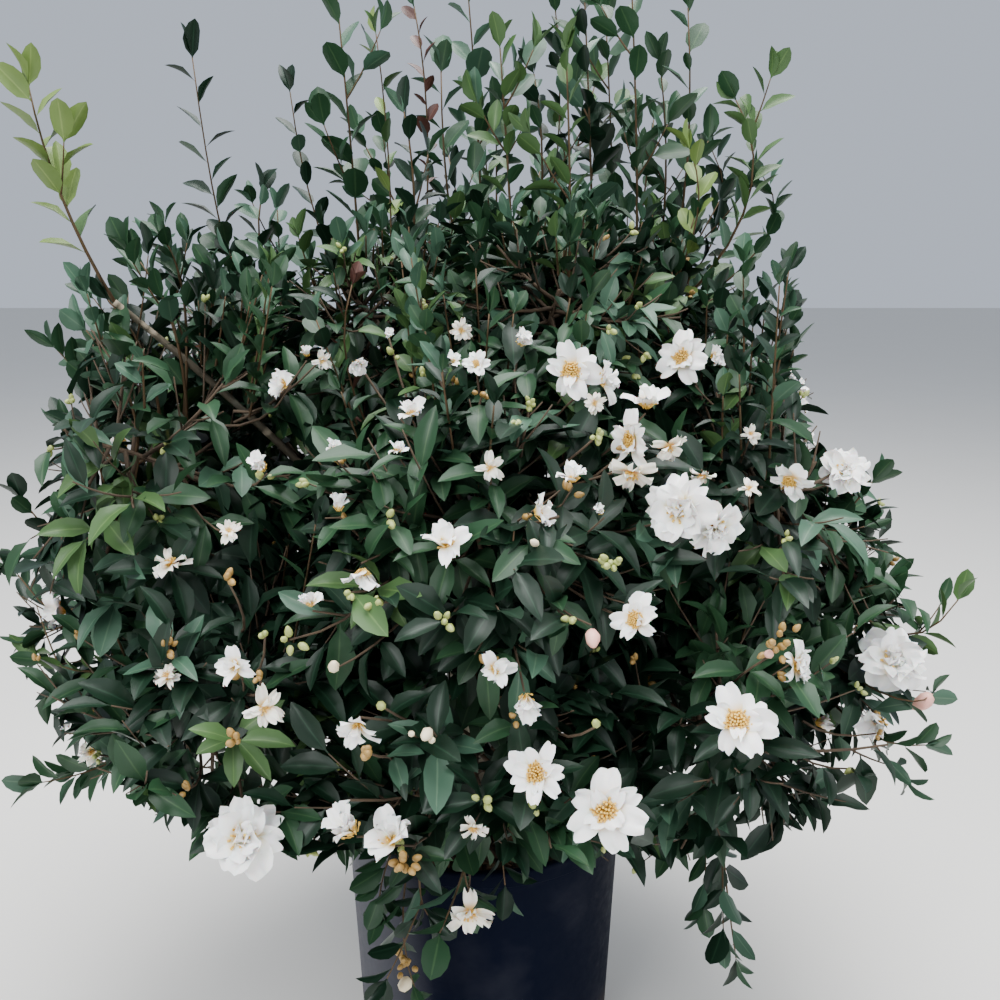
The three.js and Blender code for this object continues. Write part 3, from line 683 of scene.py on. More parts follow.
@dataclass(frozen=True)
class ClearRoom:
    """The room before blooms, and before the one bare bough, that leaves and twigs keep clear of.

    front holds the bearings at which the crown faces the eye, and set_back is how far blooms sit back there.
    ahead and behind are how deep the room is, and the rest is about the bare bough.
    """

    front: tuple[float, float] = (-150, -12)
    set_back: float = 22
    ahead: float = 320
    behind: float = 6
    bare_mass: str = "far_left_shoot"
    bare_from: float = 0.48
    bare_radius: float = 15
    bare_steps: int = 22


CLEAR = ClearRoom()


@dataclass(frozen=True)
class BudSpot:
    """A group of buds that shows from the front, by its bearing and height on the crown's face."""

    bearing: float
    height: float
    tone: BudTone
    count: int
    size: float = 10


BUDS_SEEN = tuple(
    BudSpot(*row)
    for row in (
        (-73, 1041, GREEN, 5, 9), (-82, 1071, GREEN, 5, 8), (-75, 928, GREEN, 8, 10),
        (-83, 947, CREAM, 1, 10), (-100, 894, GREEN, 7, 10), (-109, 854, GREEN, 4, 11),
        (-93, 881, GREEN, 4, 10), (-100, 969, GREEN, 2, 11), (-104, 831, CREAM, 1, 13),
        (-99, 802, GREEN, 1, 12), (-133, 938, GREEN, 4, 8), (-56, 825, TAN, 10, 11),
        (-57, 818, PINK, 1, 14), (-78, 874, PINK, 1, 20), (-94, 784, CREAM, 1, 18),
        (-94, 772, CREAM, 1, 9), (-96, 778, CREAM, 1, 10), (-100, 758, TAN, 4, 12),
        (-97, 633, TAN, 11, 10), (-89, 709, GREEN, 3, 11), (-78, 781, GREEN, 2, 10),
        (-144, 631, GREEN, 5, 9), (-114, 747, TAN, 5, 10), (-112, 817, TAN, 4, 9),
        (-125, 818, TAN, 5, 9), (-118, 902, TAN, 4, 9), (-122, 669, TAN, 4, 9), (-27, 621, TAN, 3, 9),
        (-97, 1039, GREEN, 2, 9), (-103, 903, GREEN, 3, 9), (-80, 881, GREEN, 3, 9),
        (-38, 620, GREEN, 2, 11), (-99, 1128, GREEN, 2, 8), (-153, 933, GREEN, 4, 8),
        (-112, 855, GREEN, 3, 9), (-89, 1081, TAN, 3, 9), (-84, 1057, GREEN, 3, 8),
        (-148, 828, GREEN, 4, 8),
    )
)


@dataclass(frozen=True)
class Twig:
    """A twig with its radii at root and tip."""

    bend: Bend
    radius: tuple[float, float]


@dataclass(frozen=True)
class Leaf:
    """A leaf: where it leaves its twig, the ways it runs and faces, its length and which shape it has."""

    base: np.ndarray
    along: np.ndarray
    face: np.ndarray
    length: float
    shape: int


@dataclass(frozen=True)
class Growth:
    """How the twigs of a mass branch and bear leaves."""

    mains: dict[str, int] = field(default_factory=lambda: {"skirt": 17, "waist": 16, "top": 20})
    main_share: tuple[float, float] = (0.72, 0.92)
    least_share: float = 0.45
    main_radius: tuple[float, float] = (3.0, 1.4)
    rear_turn: float = -0.85
    lift: float = 0.2
    sides: int = 7
    side_from: float = 0.28
    side_length: tuple[float, float] = (150, 85)
    side_lean: float = 48
    side_radius: tuple[float, float] = (1.5, 0.8)
    side_tries: tuple[float, ...] = (1.0, 0.75, 0.5)
    bloom_twig_radius: tuple[float, float] = (2.0, 1.1)
    collar: int = 10
    leaf_from: float = 0.2
    side_leaf_from: float = 0.22
    leaf_spacing: float = 15.5
    leaf_length: tuple[float, float] = (52, 78)
    top_leaf_length: tuple[float, float] = (42, 62)
    leaf_lean: tuple[float, float] = (42, 68)
    tuft_lean: float = 0.55
    stray_tone_share: float = 0.4
    slack: float = 1.08
    hollow: float = 21
    hollow_depth: float = 0.045
    hollow_reach: float = 130
    box_slack: float = 8
    bud_share: float = 0.12


GROWTH = Growth()


@dataclass(frozen=True)
class ShootGrowth:
    """How the long shoots over the crown bear leaves and side shoots."""

    radius: tuple[float, float] = (2.7, 1.0)
    thin_radius: tuple[float, float] = (1.7, 0.9)
    side_radius: tuple[float, float] = (1.5, 0.8)
    lift: float = 0.12
    leaf_from: float = 0.24
    leaf_lean: tuple[float, float] = (32, 58)
    side_length: tuple[float, float] = (60, 115)
    lesser_length: tuple[float, float] = (90, 240)
    lesser_tries: tuple[float, ...] = (1.0, 0.9, 0.8, 0.65, 0.5, 0.4)
    lesser_leaf: tuple[float, float] = (30, 46)
    lesser_leaf_from: float = 0.12
    back_leaf: tuple[float, float] = (36, 50)
    own_tone_share: float = 0.72


SHOOTS = ShootGrowth()

# Which leaf shapes grow in the crown, and which on the shoots.
CROWN_SHAPES = range(4)
SHOOT_SHAPES = range(4, 7)

# How many lesser shoots rise from each mass of a tier.
LESSER_SHOOTS = {"top": 34, "waist": 20, "skirt": 6}

# Shares of the leaf colours in each tier. The skirt takes more deep leaves and the top more pale ones:
# partly older and newer growth, partly painted shade low in the crown and painted light at its top.
TONE_SHARES = {
    "skirt": ((DEEP, 0.62), (MID, 0.29), (SAGE, 0.07), (FRESH, 0.02)),
    "waist": ((DEEP, 0.43), (MID, 0.4), (SAGE, 0.1), (FRESH, 0.07)),
    "top": ((DEEP, 0.28), (MID, 0.42), (SAGE, 0.16), (FRESH, 0.14)),
}


class Crown:
    """All that grows on the skeleton: twigs, leaves, blooms and buds."""

    def __init__(self, skeleton: Skeleton, seed: int = 2024) -> None:
        """Starts an empty crown.

        Args:
            skeleton: the stem, boughs and masses.
            seed: for the crown's random numbers.
        """
        self.skeleton = skeleton
        self.rng = Random(seed)
        self.twigs: dict[str, list[Twig]] = {ring.name: [] for ring in RINGS}
        self.shoot_stems: list[Twig] = []
        self.leaves: dict[tuple[str, Tone], list[Leaf]] = {}
        self.blooms: list[tuple[np.ndarray, np.ndarray, BloomSpot]] = []
        self.buds: dict[BudTone, list[tuple[np.ndarray, np.ndarray, float]]] = {tone: [] for tone in BudTone}
        self.clear_from = np.zeros((0, 3))
        self.clear_along = np.zeros((0, 3))
        self.clear_radius = np.zeros(0)
        grown = [mass for mass in skeleton.masses if not mass.is_spur]
        self.hearts = np.array([mass.heart for mass in grown])
        self.axes = np.array([mass.axes for mass in grown])
        self.sizes = np.array([mass.size for mass in grown])

    def grow(self) -> None:
        """Grows everything, blooms first, because leaves keep clear of them."""
        self.open_blooms()
        for mass in self.skeleton.masses:
            if not mass.is_spur:
                self.grow_mass(mass)
        self.carry_blooms()
        self.grow_shoots()
        self.set_buds()

    def jitter(self, spread: float) -> np.ndarray:
        """Gives a small random vector."""
        return np.array([self.rng.uniform(-spread, spread) for _ in range(3)])

    def open_blooms(self) -> None:
        """Places the blooms and notes the room before each that leaves keep clear of."""
        room = []
        for spot in (*BLOOMS_SEEN, *FarBlooms().spots(self.rng)):
            centre = crown_point(spot.bearing, spot.height)
            is_seen = CLEAR.front[0] < spot.bearing < CLEAR.front[1]
            view = unit(EYE - centre)
            facing = unit(around(spot.bearing, 1, 0) + UP * self.rng.uniform(-0.3, 0.6) + self.jitter(0.5))
            if is_seen:
                facing = self.faced(view, spot)
                centre = centre - view * CLEAR.set_back
            radius = spot.diameter / 2
            centre = np.clip(centre, BOX_LOW + radius, BOX_HIGH - radius)
            self.blooms.append((centre, facing, spot))
            ways = (facing, view) if is_seen else (facing,)
            room += [(centre, way, radius * spot.clear) for way in ways]
        for shoot in SHOOTS_SEEN:
            bend = self.shoot_bend(shoot)
            room += [(bend.at(along), unit(EYE - bend.at(along)), size) for along, _, _, size in shoot.buds]
        for mass in self.skeleton.masses:
            if mass.name == CLEAR.bare_mass:
                bare = mass.bough.at(np.linspace(CLEAR.bare_from, 1, CLEAR.bare_steps))
                room += [(at, unit(EYE - at), CLEAR.bare_radius) for at in bare]
        self.clear_from, self.clear_along, self.clear_radius = (np.array(part) for part in zip(*room))

    @staticmethod
    def faced(view: np.ndarray, spot: BloomSpot) -> np.ndarray:
        """Gives the way a bloom faces.

        Args:
            view: the way to the eye.
            spot: the bloom, with its turn and nod.

        Returns:
            The direction.
        """
        turn = math.radians(spot.turn)
        nod = math.radians(spot.nod)
        aside = unit(np.cross(UP, view))
        upward = np.cross(view, aside)
        level = view * math.cos(turn) + aside * math.sin(turn)
        return level * math.cos(nod) + upward * math.sin(nod)

    def hides_bloom(self, points: np.ndarray) -> bool:
        """Tells whether any of the points lies in the clear room before a bloom or the bare bough."""
        offset = points[:, None] - self.clear_from
        ahead = (offset * self.clear_along).sum(axis=-1)
        beside = np.linalg.norm(offset - ahead[..., None] * self.clear_along, axis=-1)
        is_ahead = (ahead > -CLEAR.behind) & (ahead < CLEAR.ahead)
        return bool((is_ahead & (beside < self.clear_radius)).any())

    def fits(self, points: np.ndarray, slack: float, room: float) -> bool:
        """Tells whether all points lie in the space of some mass, in the box and off the pot.

        Args:
            points: the points.
            slack: how far out they may lie, as a share of a mass's size.
            room: how far past the close foliage's outline they may show, or a negative number for any.

        Returns:
            Whether they do.
        """
        points = np.atleast_2d(points)
        if self.meets_pot(points) or not self.in_box(points):
            return False
        local = np.einsum("mpi,mji->mpj", points[None] - self.hearts[:, None], self.axes)
        shares = np.linalg.norm(local / self.sizes[:, None], axis=-1)
        hollows = GROWTH.hollow_depth * np.sin(points / GROWTH.hollow + (1, 2, 0)).sum(axis=-1)
        is_within = bool((shares.min(axis=0) < slack - hollows).all())
        edge = room - float(hollows[-1]) * GROWTH.hollow_reach
        return is_within and (room < 0 or OUTLINE.holds(points, edge))

    @staticmethod
    def in_box(points: np.ndarray) -> bool:
        """Tells whether all points lie in the CAD model's box, give or take a few millimetres."""
        slack = GROWTH.box_slack
        return bool(((points > BOX_LOW - slack) & (points < BOX_HIGH + slack)).all())

    @staticmethod
    def meets_pot(points: np.ndarray, margin: float = 4) -> bool:
        """Tells whether any of the points lies in or against the pot."""
        radius = np.linalg.norm(points[:, :2], axis=1)
        return bool(((points[:, 2] < POT.height + margin) & (radius < POT.lip_radius + margin)).any())

    @staticmethod
    def twig_bend(root: np.ndarray, tip: np.ndarray, lift: float) -> Bend:
        """Gives a twig's curve, which turns up or, with a negative lift, hangs."""
        length = float(np.linalg.norm(tip - root))
        return Bend(root, (root + tip) / 2 - UP * lift * length * 0.5, tip)

    def pick_tone(self, tier: str) -> Tone:
        """Picks the leaf colour of one spray."""
        tones, shares = zip(*TONE_SHARES[tier])
        return self.rng.choices(tones, shares)[0]

    def spray_directions(self, mass: Mass) -> Iterable[np.ndarray]:
        """Gives the main twigs' directions: an even spiral about the way the mass faces."""
        sideways = unit(np.cross(UP, mass.facing))
        upward = np.cross(mass.facing, sideways)
        mains = GROWTH.mains[mass.tier]
        for i in range(mains):
            turn = i * GOLDEN_TURN + self.rng.random() * 0.5
            cosine = blend(0.95, GROWTH.rear_turn, (i + 0.3 + 0.4 * self.rng.random()) / mains)
            sine = math.sqrt(1 - cosine * cosine)
            yield mass.facing * cosine + (sideways * math.cos(turn) + upward * math.sin(turn)) * sine

    def grow_mass(self, mass: Mass) -> None:
        """Grows the main twigs of a mass, where there is room, with their side twigs and leaves."""
        for direction in self.spray_directions(mass):
            root = mass.stem.at(blend(0.4, 0.95, (direction @ mass.facing + 1) / 2))
            reach = mass.reach(direction) * self.rng.uniform(*GROWTH.main_share)
            least = GROWTH.least_share * reach
            while reach > least and not self.fits(mass.heart + direction * reach, 1.0, 0):
                reach -= 15
            if reach < least:
                continue
            main = self.twig_bend(root, mass.heart + direction * reach, GROWTH.lift)
            self.twigs[mass.tier].append(Twig(main, GROWTH.main_radius))
            tone = self.pick_tone(mass.tier)
            self.bear_leaves(mass, main, tone, GROWTH.leaf_from)
            turn = self.rng.uniform(0, 2 * math.pi)
            for i in range(GROWTH.sides):
                along = blend(GROWTH.side_from, 0.95, i / (GROWTH.sides - 1))
                turn += GOLDEN_TURN
                self.grow_side(mass, main, along, turn, tone)

    def grow_side(self, mass: Mass, main: Bend, along: float, turn: float, tone: Tone) -> None:
        """Grows one side twig, shortened until it fits the mass's space.

        Args:
            mass: the mass it grows in.
            main: the twig that bears it.
            along: where it leaves that twig.
            turn: the way it leaves, about the twig.
            tone: its main twig's leaf colour.
        """
        start = main.at(along)
        away = self.turned_away(main.heading(along), turn, GROWTH.side_lean)
        outward = unit(start - mass.heart)
        direction = unit(away + outward * 0.45 + UP * 0.25 + self.jitter(0.15))
        length = blend(*GROWTH.side_length, along) * self.rng.uniform(0.8, 1.2)
        for shortened in GROWTH.side_tries:
            side = self.twig_bend(start, start + direction * length * shortened, 0.15)
            points = side.at(np.array([0.5, 0.75, 1.0]))
            if self.fits(points, 1.02, 0) and not self.hides_bloom(points):
                break
        else:
            return
        self.twigs[mass.tier].append(Twig(side, GROWTH.side_radius))
        if self.rng.random() < GROWTH.stray_tone_share:
            tone = self.pick_tone(mass.tier)
        self.bear_leaves(mass, side, tone, GROWTH.side_leaf_from)
        if self.rng.random() < GROWTH.bud_share:
            tone = self.rng.choice((GREEN, GREEN, TAN))
            self.buds_at(side.tip, side.heading(1), tone, 3, 8)

    @staticmethod
    def turned_away(heading: np.ndarray, turn: float, lean: float) -> np.ndarray:
        """Gives a direction that leans away from a twig.

        Args:
            heading: the way the twig runs.
            turn: the angle about the twig, in radians.
            lean: the angle from the twig, in degrees.

        Returns:
            The direction.
        """
        side = np.cross(UP, heading)
        side = unit(side) if np.linalg.norm(side) > 0.05 else np.array([1.0, 0, 0])
        other = np.cross(heading, side)
        aside = side * math.cos(turn) + other * math.sin(turn)
        return heading * math.cos(math.radians(lean)) + aside * math.sin(math.radians(lean))

    def bear_leaves(self, mass: Mass, twig: Bend, tone: Tone, start: float) -> None:
        """Sets leaves round a twig from a start share to its tip, and a close tuft at the tip.

        Args:
            mass: the mass it grows in.
            twig: the twig's curve.
            tone: the leaves' colour.
            start: the share of its length at which they start.
        """
        steps = max(3, round(twig.length() * (1 - start) / GROWTH.leaf_spacing))
        turn = self.rng.uniform(0, 2 * math.pi)
        for i in range(steps + 2):
            along = min(1.0, blend(start, 1.0, i / (steps - 1)) * self.rng.uniform(0.97, 1.0))
            turn += GOLDEN_TURN
            lean = self.rng.uniform(*GROWTH.leaf_lean) * (GROWTH.tuft_lean if i >= steps - 1 else 1)
            self.add_leaf(mass, twig.at(along), twig.heading(along), turn, lean, tone)

    def add_leaf(
        self, mass: Mass, base: np.ndarray, heading: np.ndarray, turn: float, lean: float, tone: Tone
    ) -> None:
        """Adds a mature leaf if it fits the mass's space and hides no bloom.

        Args:
            mass: the mass it grows in.
            base: where it leaves its twig.
            heading: the way the twig runs there.
            turn: the way it leaves, about the twig.
            lean: its angle from the twig, in degrees.
            tone: its colour.
        """
        direction = self.turned_away(heading, turn, lean)
        outward = unit(base - mass.heart)
        direction = unit(direction + outward * 0.25 - UP * 0.15)
        length = self.rng.uniform(*(GROWTH.top_leaf_length if mass.tier == "top" else GROWTH.leaf_length))
        points = base + direction * np.array([[0.5], [1.0]]) * length
        if not self.fits(points, GROWTH.slack, self.rng.uniform(0, 22)) or self.hides_bloom(points):
            return
        face = UP + outward * self.rng.uniform(0.1, 1.0) + self.jitter(0.35)
        shape = self.rng.choice(CROWN_SHAPES)
        self.keep_leaf(mass.tier, tone, Leaf(base, direction, face, length, shape))

    def keep_leaf(self, tier: str, tone: Tone, leaf: Leaf) -> None:
        """Stores a leaf with the others of its tier and colour."""
        self.leaves.setdefault((tier, tone), []).append(leaf)

    def carry_blooms(self) -> None:
        """Grows the twig under each bloom, with a collar of leaves."""
        for centre, facing, spot in self.blooms:
            twig = self.carry(centre - facing * 6, facing, 0.45)
            if spot.form is not SPENT and self.rng.random() < 0.4:
                self.buds_at(twig.at(0.9), facing, self.rng.choice((GREEN, TAN)), 3, 9)

    def carry(self, end: np.ndarray, facing: np.ndarray, root_share: float) -> Bend:
        """Grows a leafy twig that ends under a bloom or a group of buds.

        Args:
            end: where it ends.
            facing: the way the bloom faces.
            root_share: how far out it starts, as a share of the way from the mass's heart.

        Returns:
            The twig's curve.
        """
        mass = self.skeleton.owner_of(end)
        root = mass.heart + (end - mass.heart) * root_share + self.jitter(16)
        length = float(np.linalg.norm(end - root))
        middle = (root + end) / 2 - facing * length * 0.2 - UP * length * 0.15 + self.jitter(10)
        twig = Bend(root, middle, end)
        self.twigs[mass.tier].append(Twig(twig, GROWTH.bloom_twig_radius))
        tone = self.pick_tone(mass.tier)
        turn = self.rng.uniform(0, 2 * math.pi)
        for i in range(GROWTH.collar):
            along = blend(0.35, 0.96, i / (GROWTH.collar - 1))
            turn += GOLDEN_TURN
            self.add_leaf(mass, twig.at(along), twig.heading(along), turn, self.rng.uniform(55, 85), tone)
        return twig

    def grow_shoots(self) -> None:
        """Grows the long shoots and loose sprays, those at the back, and the lesser shoots."""
        for shoot in SHOOTS_SEEN:
            self.grow_shoot(self.shoot_bend(shoot), shoot)
        for x, y, z, tone in BACK_SHOOTS:
            tip = np.array([x, y, z], float)
            mass = self.skeleton.owner_of(tip)
            bend = self.twig_bend(self.shoot_root(mass, tip), tip, SHOOTS.lift)
            self.grow_shoot(bend, Shoot.unseen(tone, SHOOTS.back_leaf, 18, 2))
        for mass in self.skeleton.masses:
            if not mass.is_spur:
                for _ in range(LESSER_SHOOTS[mass.tier]):
                    self.grow_lesser_shoot(mass)

    def shoot_bend(self, shoot: Shoot) -> Bend:
        """Gives the curve of a shoot that the picture shows."""
        tip = sighted(*shoot.tip, shoot.y)
        elbow = sighted(*shoot.bend, shoot.y)
        named = [mass for mass in self.skeleton.masses if mass.name == shoot.mass]
        mass = named[0] if named else self.skeleton.owner_of(elbow)
        root = mass.bough.tip if mass.is_spur else self.shoot_root(mass, elbow)
        return Bend(root, 2 * elbow - (root + tip) / 2, tip)

    @staticmethod
    def shoot_root(mass: Mass, toward: np.ndarray) -> np.ndarray:
        """Gives the point in a mass's core that a shoot rises from.

        Args:
            mass: the mass.
            toward: the point that the shoot rises towards.

        Returns:
            The point.
        """
        offset = (toward - mass.heart) * (1, 1, 0)
        limit = 0.7 * CORE_SHARE * min(mass.size[:2])
        return mass.heart + offset * min(1, limit / max(1, float(np.linalg.norm(offset))))

    def grow_lesser_shoot(self, mass: Mass) -> None:
        """Grows one short upright shoot out of a mass, if it stays within the crown's outline."""
        for shortened in SHOOTS.lesser_tries:
            turn = self.rng.uniform(0, 2 * math.pi)
            spread = math.sqrt(self.rng.random())
            flat = np.array([math.cos(turn), math.sin(turn), 0]) * spread
            direction = unit(flat + UP * math.sqrt(1.15 - spread**2))
            root = mass.heart + direction * 0.62 / float(np.linalg.norm(mass.axes @ direction / mass.size))
            way = UP + flat * 0.3 + self.jitter(0.12)
            tip = root + way * self.rng.uniform(*SHOOTS.lesser_length) * shortened
            room = self.rng.uniform(-20, 22)
            bend = self.twig_bend(root, tip, 0.1)
            is_clear = not self.hides_bloom(bend.at(np.linspace(0.2, 1, 6)))
            if is_clear and self.in_box(tip[None]) and OUTLINE.holds(tip[None], room):
                break
        else:
            return
        tone = self.pick_tone(mass.tier)
        self.grow_shoot(bend, Shoot.unseen(tone, SHOOTS.lesser_leaf, 15, 0), SHOOTS.lesser_leaf_from)

    def grow_shoot(self, bend: Bend, shoot: Shoot, leaf_from: float = SHOOTS.leaf_from) -> None:
        """Grows one shoot with its leaves and side shoots.

        Args:
            bend: its curve.
            shoot: its tone, leaves and side shoots.
            leaf_from: the share of its length at which its leaves start.
        """
        self.shoot_stems.append(Twig(bend, SHOOTS.radius if shoot.sides else SHOOTS.thin_radius))
        self.shoot_leaves(bend, shoot, leaf_from)
        turn = self.rng.uniform(0, 2 * math.pi)
        for i in range(shoot.sides):
            along = blend(0.5, 0.85, (i + self.rng.random()) / shoot.sides)
            turn += GOLDEN_TURN
            direction = unit(self.turned_away(bend.heading(along), turn, 38) + UP * 0.2)
            root = bend.at(along)
            tip = root + direction * self.rng.uniform(*SHOOTS.side_length)
            if not self.in_box(tip + direction * 20):
                continue
            side = self.twig_bend(root, tip, 0.2)
            self.shoot_stems.append(Twig(side, SHOOTS.side_radius))
            self.shoot_leaves(side, shoot, 0.2)
        for along, tone, count, size in shoot.buds:
            self.buds_at(bend.at(along), unit(EYE - bend.at(along)), tone, count, size)

    def shoot_leaves(self, bend: Bend, shoot: Shoot, start: float) -> None:
        """Sets the broad small leaves of a shoot in two ranks, and the tuft at its tip.

        Args:
            bend: the shoot's curve.
            shoot: its tone and leaves.
            start: the share of its length at which they start.
        """
        steps = max(2, round(bend.length() * (1 - start) / shoot.spacing))
        turn = self.rng.uniform(0, 2 * math.pi)
        for i in range(steps + 2):
            along = min(1.0, blend(start, 1.0, i / (steps - 1)) * self.rng.uniform(0.985, 1.0))
            turn += GOLDEN_TURN if i >= steps - 1 else math.pi + self.rng.uniform(-0.7, 0.7)
            lean = self.rng.uniform(*SHOOTS.leaf_lean) * (GROWTH.tuft_lean if i >= steps - 1 else 1)
            base = bend.at(along)
            direction = self.turned_away(bend.heading(along), turn, lean)
            length = self.rng.uniform(*shoot.leaf_length) * blend(1.15, 0.95, along)
            points = base + direction * np.array([[0.5], [1.0]]) * length
            if self.hides_bloom(points) or self.meets_pot(points) or not self.in_box(points):
                continue
            face = unit(bend.heading(along) + self.jitter(0.45))
            others = (FRESH, YOUNG) if shoot.tone is YOUNG else (MID, SAGE)
            tone = shoot.tone if self.rng.random() < SHOOTS.own_tone_share else self.rng.choice(others)
            shape = self.rng.choice(SHOOT_SHAPES)
            self.keep_leaf("shoots", tone, Leaf(base, direction, face, length, shape))

    def set_buds(self) -> None:
        """Places the groups of buds that show from the front."""
        for spot in BUDS_SEEN:
            centre = crown_point(spot.bearing, spot.height)
            centre = centre - unit(EYE - centre) * 12
            self.carry(centre, unit(around(spot.bearing, 1, 0) + UP * 0.4), 0.6)
            self.buds_at(centre, unit(EYE - centre), spot.tone, spot.count, spot.size)

    def buds_at(
        self, place: np.ndarray, heading: np.ndarray, tone: BudTone, count: int, size: float
    ) -> None:
        """Groups buds round a twig's tip.

        Args:
            place: the tip.
            heading: the way the twig runs there.
            tone: the buds' colour.
            count: how many there are.
            size: a bud's width.
        """
        for _ in range(count):
            way = unit(heading + self.jitter(0.9))
            spread = size * self.rng.uniform(0.5, 0.8 + 0.22 * count)
            self.buds[tone].append((place + way * spread * 0.9, way, size * self.rng.uniform(0.75, 1.1)))


@dataclass(frozen=True)
class Blank:
    """A small shape to be copied many times."""

    points: np.ndarray
    corners: np.ndarray
    sizes: np.ndarray
    uvs: np.ndarray

    @classmethod
    def of(cls, mesh: BMesh) -> "Blank":
        """Reads a shape from a bmesh and frees it.

        Args:
            mesh: the shape, in millimetres or in shares of its own length.

        Returns:
            The blank.
        """
        mesh.verts.index_update()
        layer = mesh.loops.layers.uv.active
        points = np.array([vert.co for vert in mesh.verts])
        loops = [loop for face in mesh.faces for loop in face.loops]
        corners = np.array([loop.vert.index for loop in loops])
        uvs = np.array([loop[layer].uv for loop in loops]) if layer else np.zeros((len(loops), 2))
        sizes = np.array([len(face.verts) for face in mesh.faces])
        mesh.free()
        return cls(points, corners, sizes, uvs)

    def placed(
        self, bases: np.ndarray, alongs: np.ndarray, faces: np.ndarray, scales: np.ndarray
    ) -> np.ndarray:
        """Places copies of the blank, its +X along the given ways and its +Z near the given faces.

        Args:
            bases: where each copy's origin goes.
            alongs: the way of each copy's +X.
            faces: the way each copy's +Z leans to.
            scales: each copy's size, one number or three each.

        Returns:
            The copies' points, as copy by point by coordinate.
        """
        along = unit(alongs)
        side = unit(np.cross(faces, along))
        upper = np.cross(along, side)
        turned = np.stack([along, side, upper], axis=1)
        scaled = self.points[None] * np.asarray(scales).reshape(len(bases), 1, -1)
        return bases[:, None] + scaled @ turned


class Sheaf:
    """Many copies of blanks that become one piece."""

    def __init__(self) -> None:
        """Starts with no copies."""
        self.batches: list[tuple[Blank, np.ndarray]] = []

    def add(self, blank: Blank, points: np.ndarray) -> None:
        """Adds copies of a blank by their points."""
        self.batches.append((blank, points))

    def build(self, name: str, material: Material, is_smooth: bool = True) -> Object:
        """Joins all copies into one object.

        Args:
            name: the piece's name.
            material: its material.
            is_smooth: whether its faces are shaded smooth.

        Returns:
            The piece.
        """
        points = np.concatenate([at.reshape(-1, 3) for _, at in self.batches]) * MM
        corners = []
        offset = 0
        for blank, at in self.batches:
            firsts = offset + len(blank.points) * np.arange(len(at))
            corners.append((blank.corners[None] + firsts[:, None]).ravel())
            offset += len(at) * len(blank.points)
        corner_run = np.concatenate(corners).astype(np.int32)
        sizes = np.concatenate([np.tile(blank.sizes, len(at)) for blank, at in self.batches])
        uvs = np.concatenate([np.tile(blank.uvs, (len(at), 1)) for blank, at in self.batches])
        starts = np.concatenate([[0], np.cumsum(sizes)[:-1]]).astype(np.int32)
        mesh = bpy.data.meshes.new(name)
        mesh.vertices.add(len(points))
        mesh.vertices.foreach_set("co", points.astype(np.float32).ravel())
        mesh.loops.add(len(corner_run))
        mesh.loops.foreach_set("vertex_index", corner_run)
        mesh.polygons.add(len(starts))
        mesh.polygons.foreach_set("loop_start", starts)
        mesh.uv_layers.new(name="surface").data.foreach_set("uv", uvs.astype(np.float32).ravel())
        mesh.update(calc_edges=True)
        mesh.polygons.foreach_set("use_smooth", np.full(len(starts), is_smooth))
        mesh.materials.append(material)
        return linked(name, mesh)


def linked(name: str, mesh: Mesh) -> Object:
    """Puts a mesh into the scene as an object at the origin."""
    piece = bpy.data.objects.new(name, mesh)
    bpy.context.scene.collection.objects.link(piece)
    return piece


def as_piece(
    name: str, mesh: BMesh, material: Material, is_smooth: bool = True
) -> Object:
    """Turns a bmesh in millimetres into a piece.

    Args:
        name: the piece's name.
        mesh: the shape, which is freed.
        material: its material.
        is_smooth: whether its faces are shaded smooth.

    Returns:
        The piece.
    """
    bmesh.ops.scale(mesh, vec=(MM, MM, MM), verts=mesh.verts)
    data = bpy.data.meshes.new(name)
    mesh.to_mesh(data)
    mesh.free()
    data.polygons.foreach_set("use_smooth", np.full(len(data.polygons), is_smooth))
    data.materials.append(material)
    return linked(name, data)


def turn_about(
    mesh: BMesh, verts: Iterable[BMVert], angle: float, axis: str
) -> None:
    """Turns vertices about an axis through the origin, by radians."""
    bmesh.ops.rotate(mesh, verts=verts, cent=(0, 0, 0), matrix=Matrix.Rotation(angle, 3, axis))


def sheet_blank(
    columns: int,
    rows: int,
    shape: Callable[[float, float], tuple[float, float, float]],
    mesh: BMesh,
) -> list[BMVert]:
    """Adds a sheet to a bmesh, with its surface coordinates as a UV map.

    Args:
        columns: faces across.
        rows: faces along.
        shape: gives the point at a share along and a place from -1 to 1 across.
        mesh: the bmesh.

    Returns:
        The sheet's vertices.
    """
    layer = mesh.loops.layers.uv.verify()
    made = bmesh.ops.create_grid(mesh, x_segments=rows, y_segments=columns, size=0.5)
    verts = made["verts"]
    places = {vert: (vert.co.x + 0.5, vert.co.y * 2) for vert in verts}
    for face in {face for vert in verts for face in vert.link_faces}:
        for loop in face.loops:
            along, across = places[loop.vert]
            loop[layer].uv = (along, across / 2 + 0.5)
    for vert, (along, across) in places.items():
        vert.co = shape(along, across)
    return verts


@dataclass(frozen=True)
class LeafShape:
    """A leaf blank of unit length: petiole, pointed oval blade, folded midrib and curved tip."""

    width: float
    fold: float
    curl: float
    wave: float
    stations: tuple[float, ...] = (0, 0.08, 0.25, 0.47, 0.7, 0.88, 1)
    widths: tuple[float, ...] = (0.05, 0.08, 0.7, 1, 0.86, 0.45, 0)

    def blank(self) -> Blank:
        """Makes the blank: a sheet of six by four faces, closed to a point at the tip."""
        mesh = bmesh.new()
        last = len(self.stations) - 1

        def shape(along: float, across: float) -> tuple[float, float, float]:
            """Gives the leaf's point at a place on the sheet."""
            station = round(along * last)
            share = self.stations[station]
            half = self.widths[station] * self.width / 2
            margin = self.wave * math.sin(station * 2.4) * abs(across) * half
            rise = self.fold * abs(across) ** 1.5 * half - self.curl * share**2 + 0.12 * share
            return (share * (1 - 0.25 * self.curl * share), across * half, rise + margin)

        sheet_blank(4, last, shape, mesh)
        bmesh.ops.remove_doubles(mesh, verts=mesh.verts, dist=1e-4)
        return Blank.of(mesh)


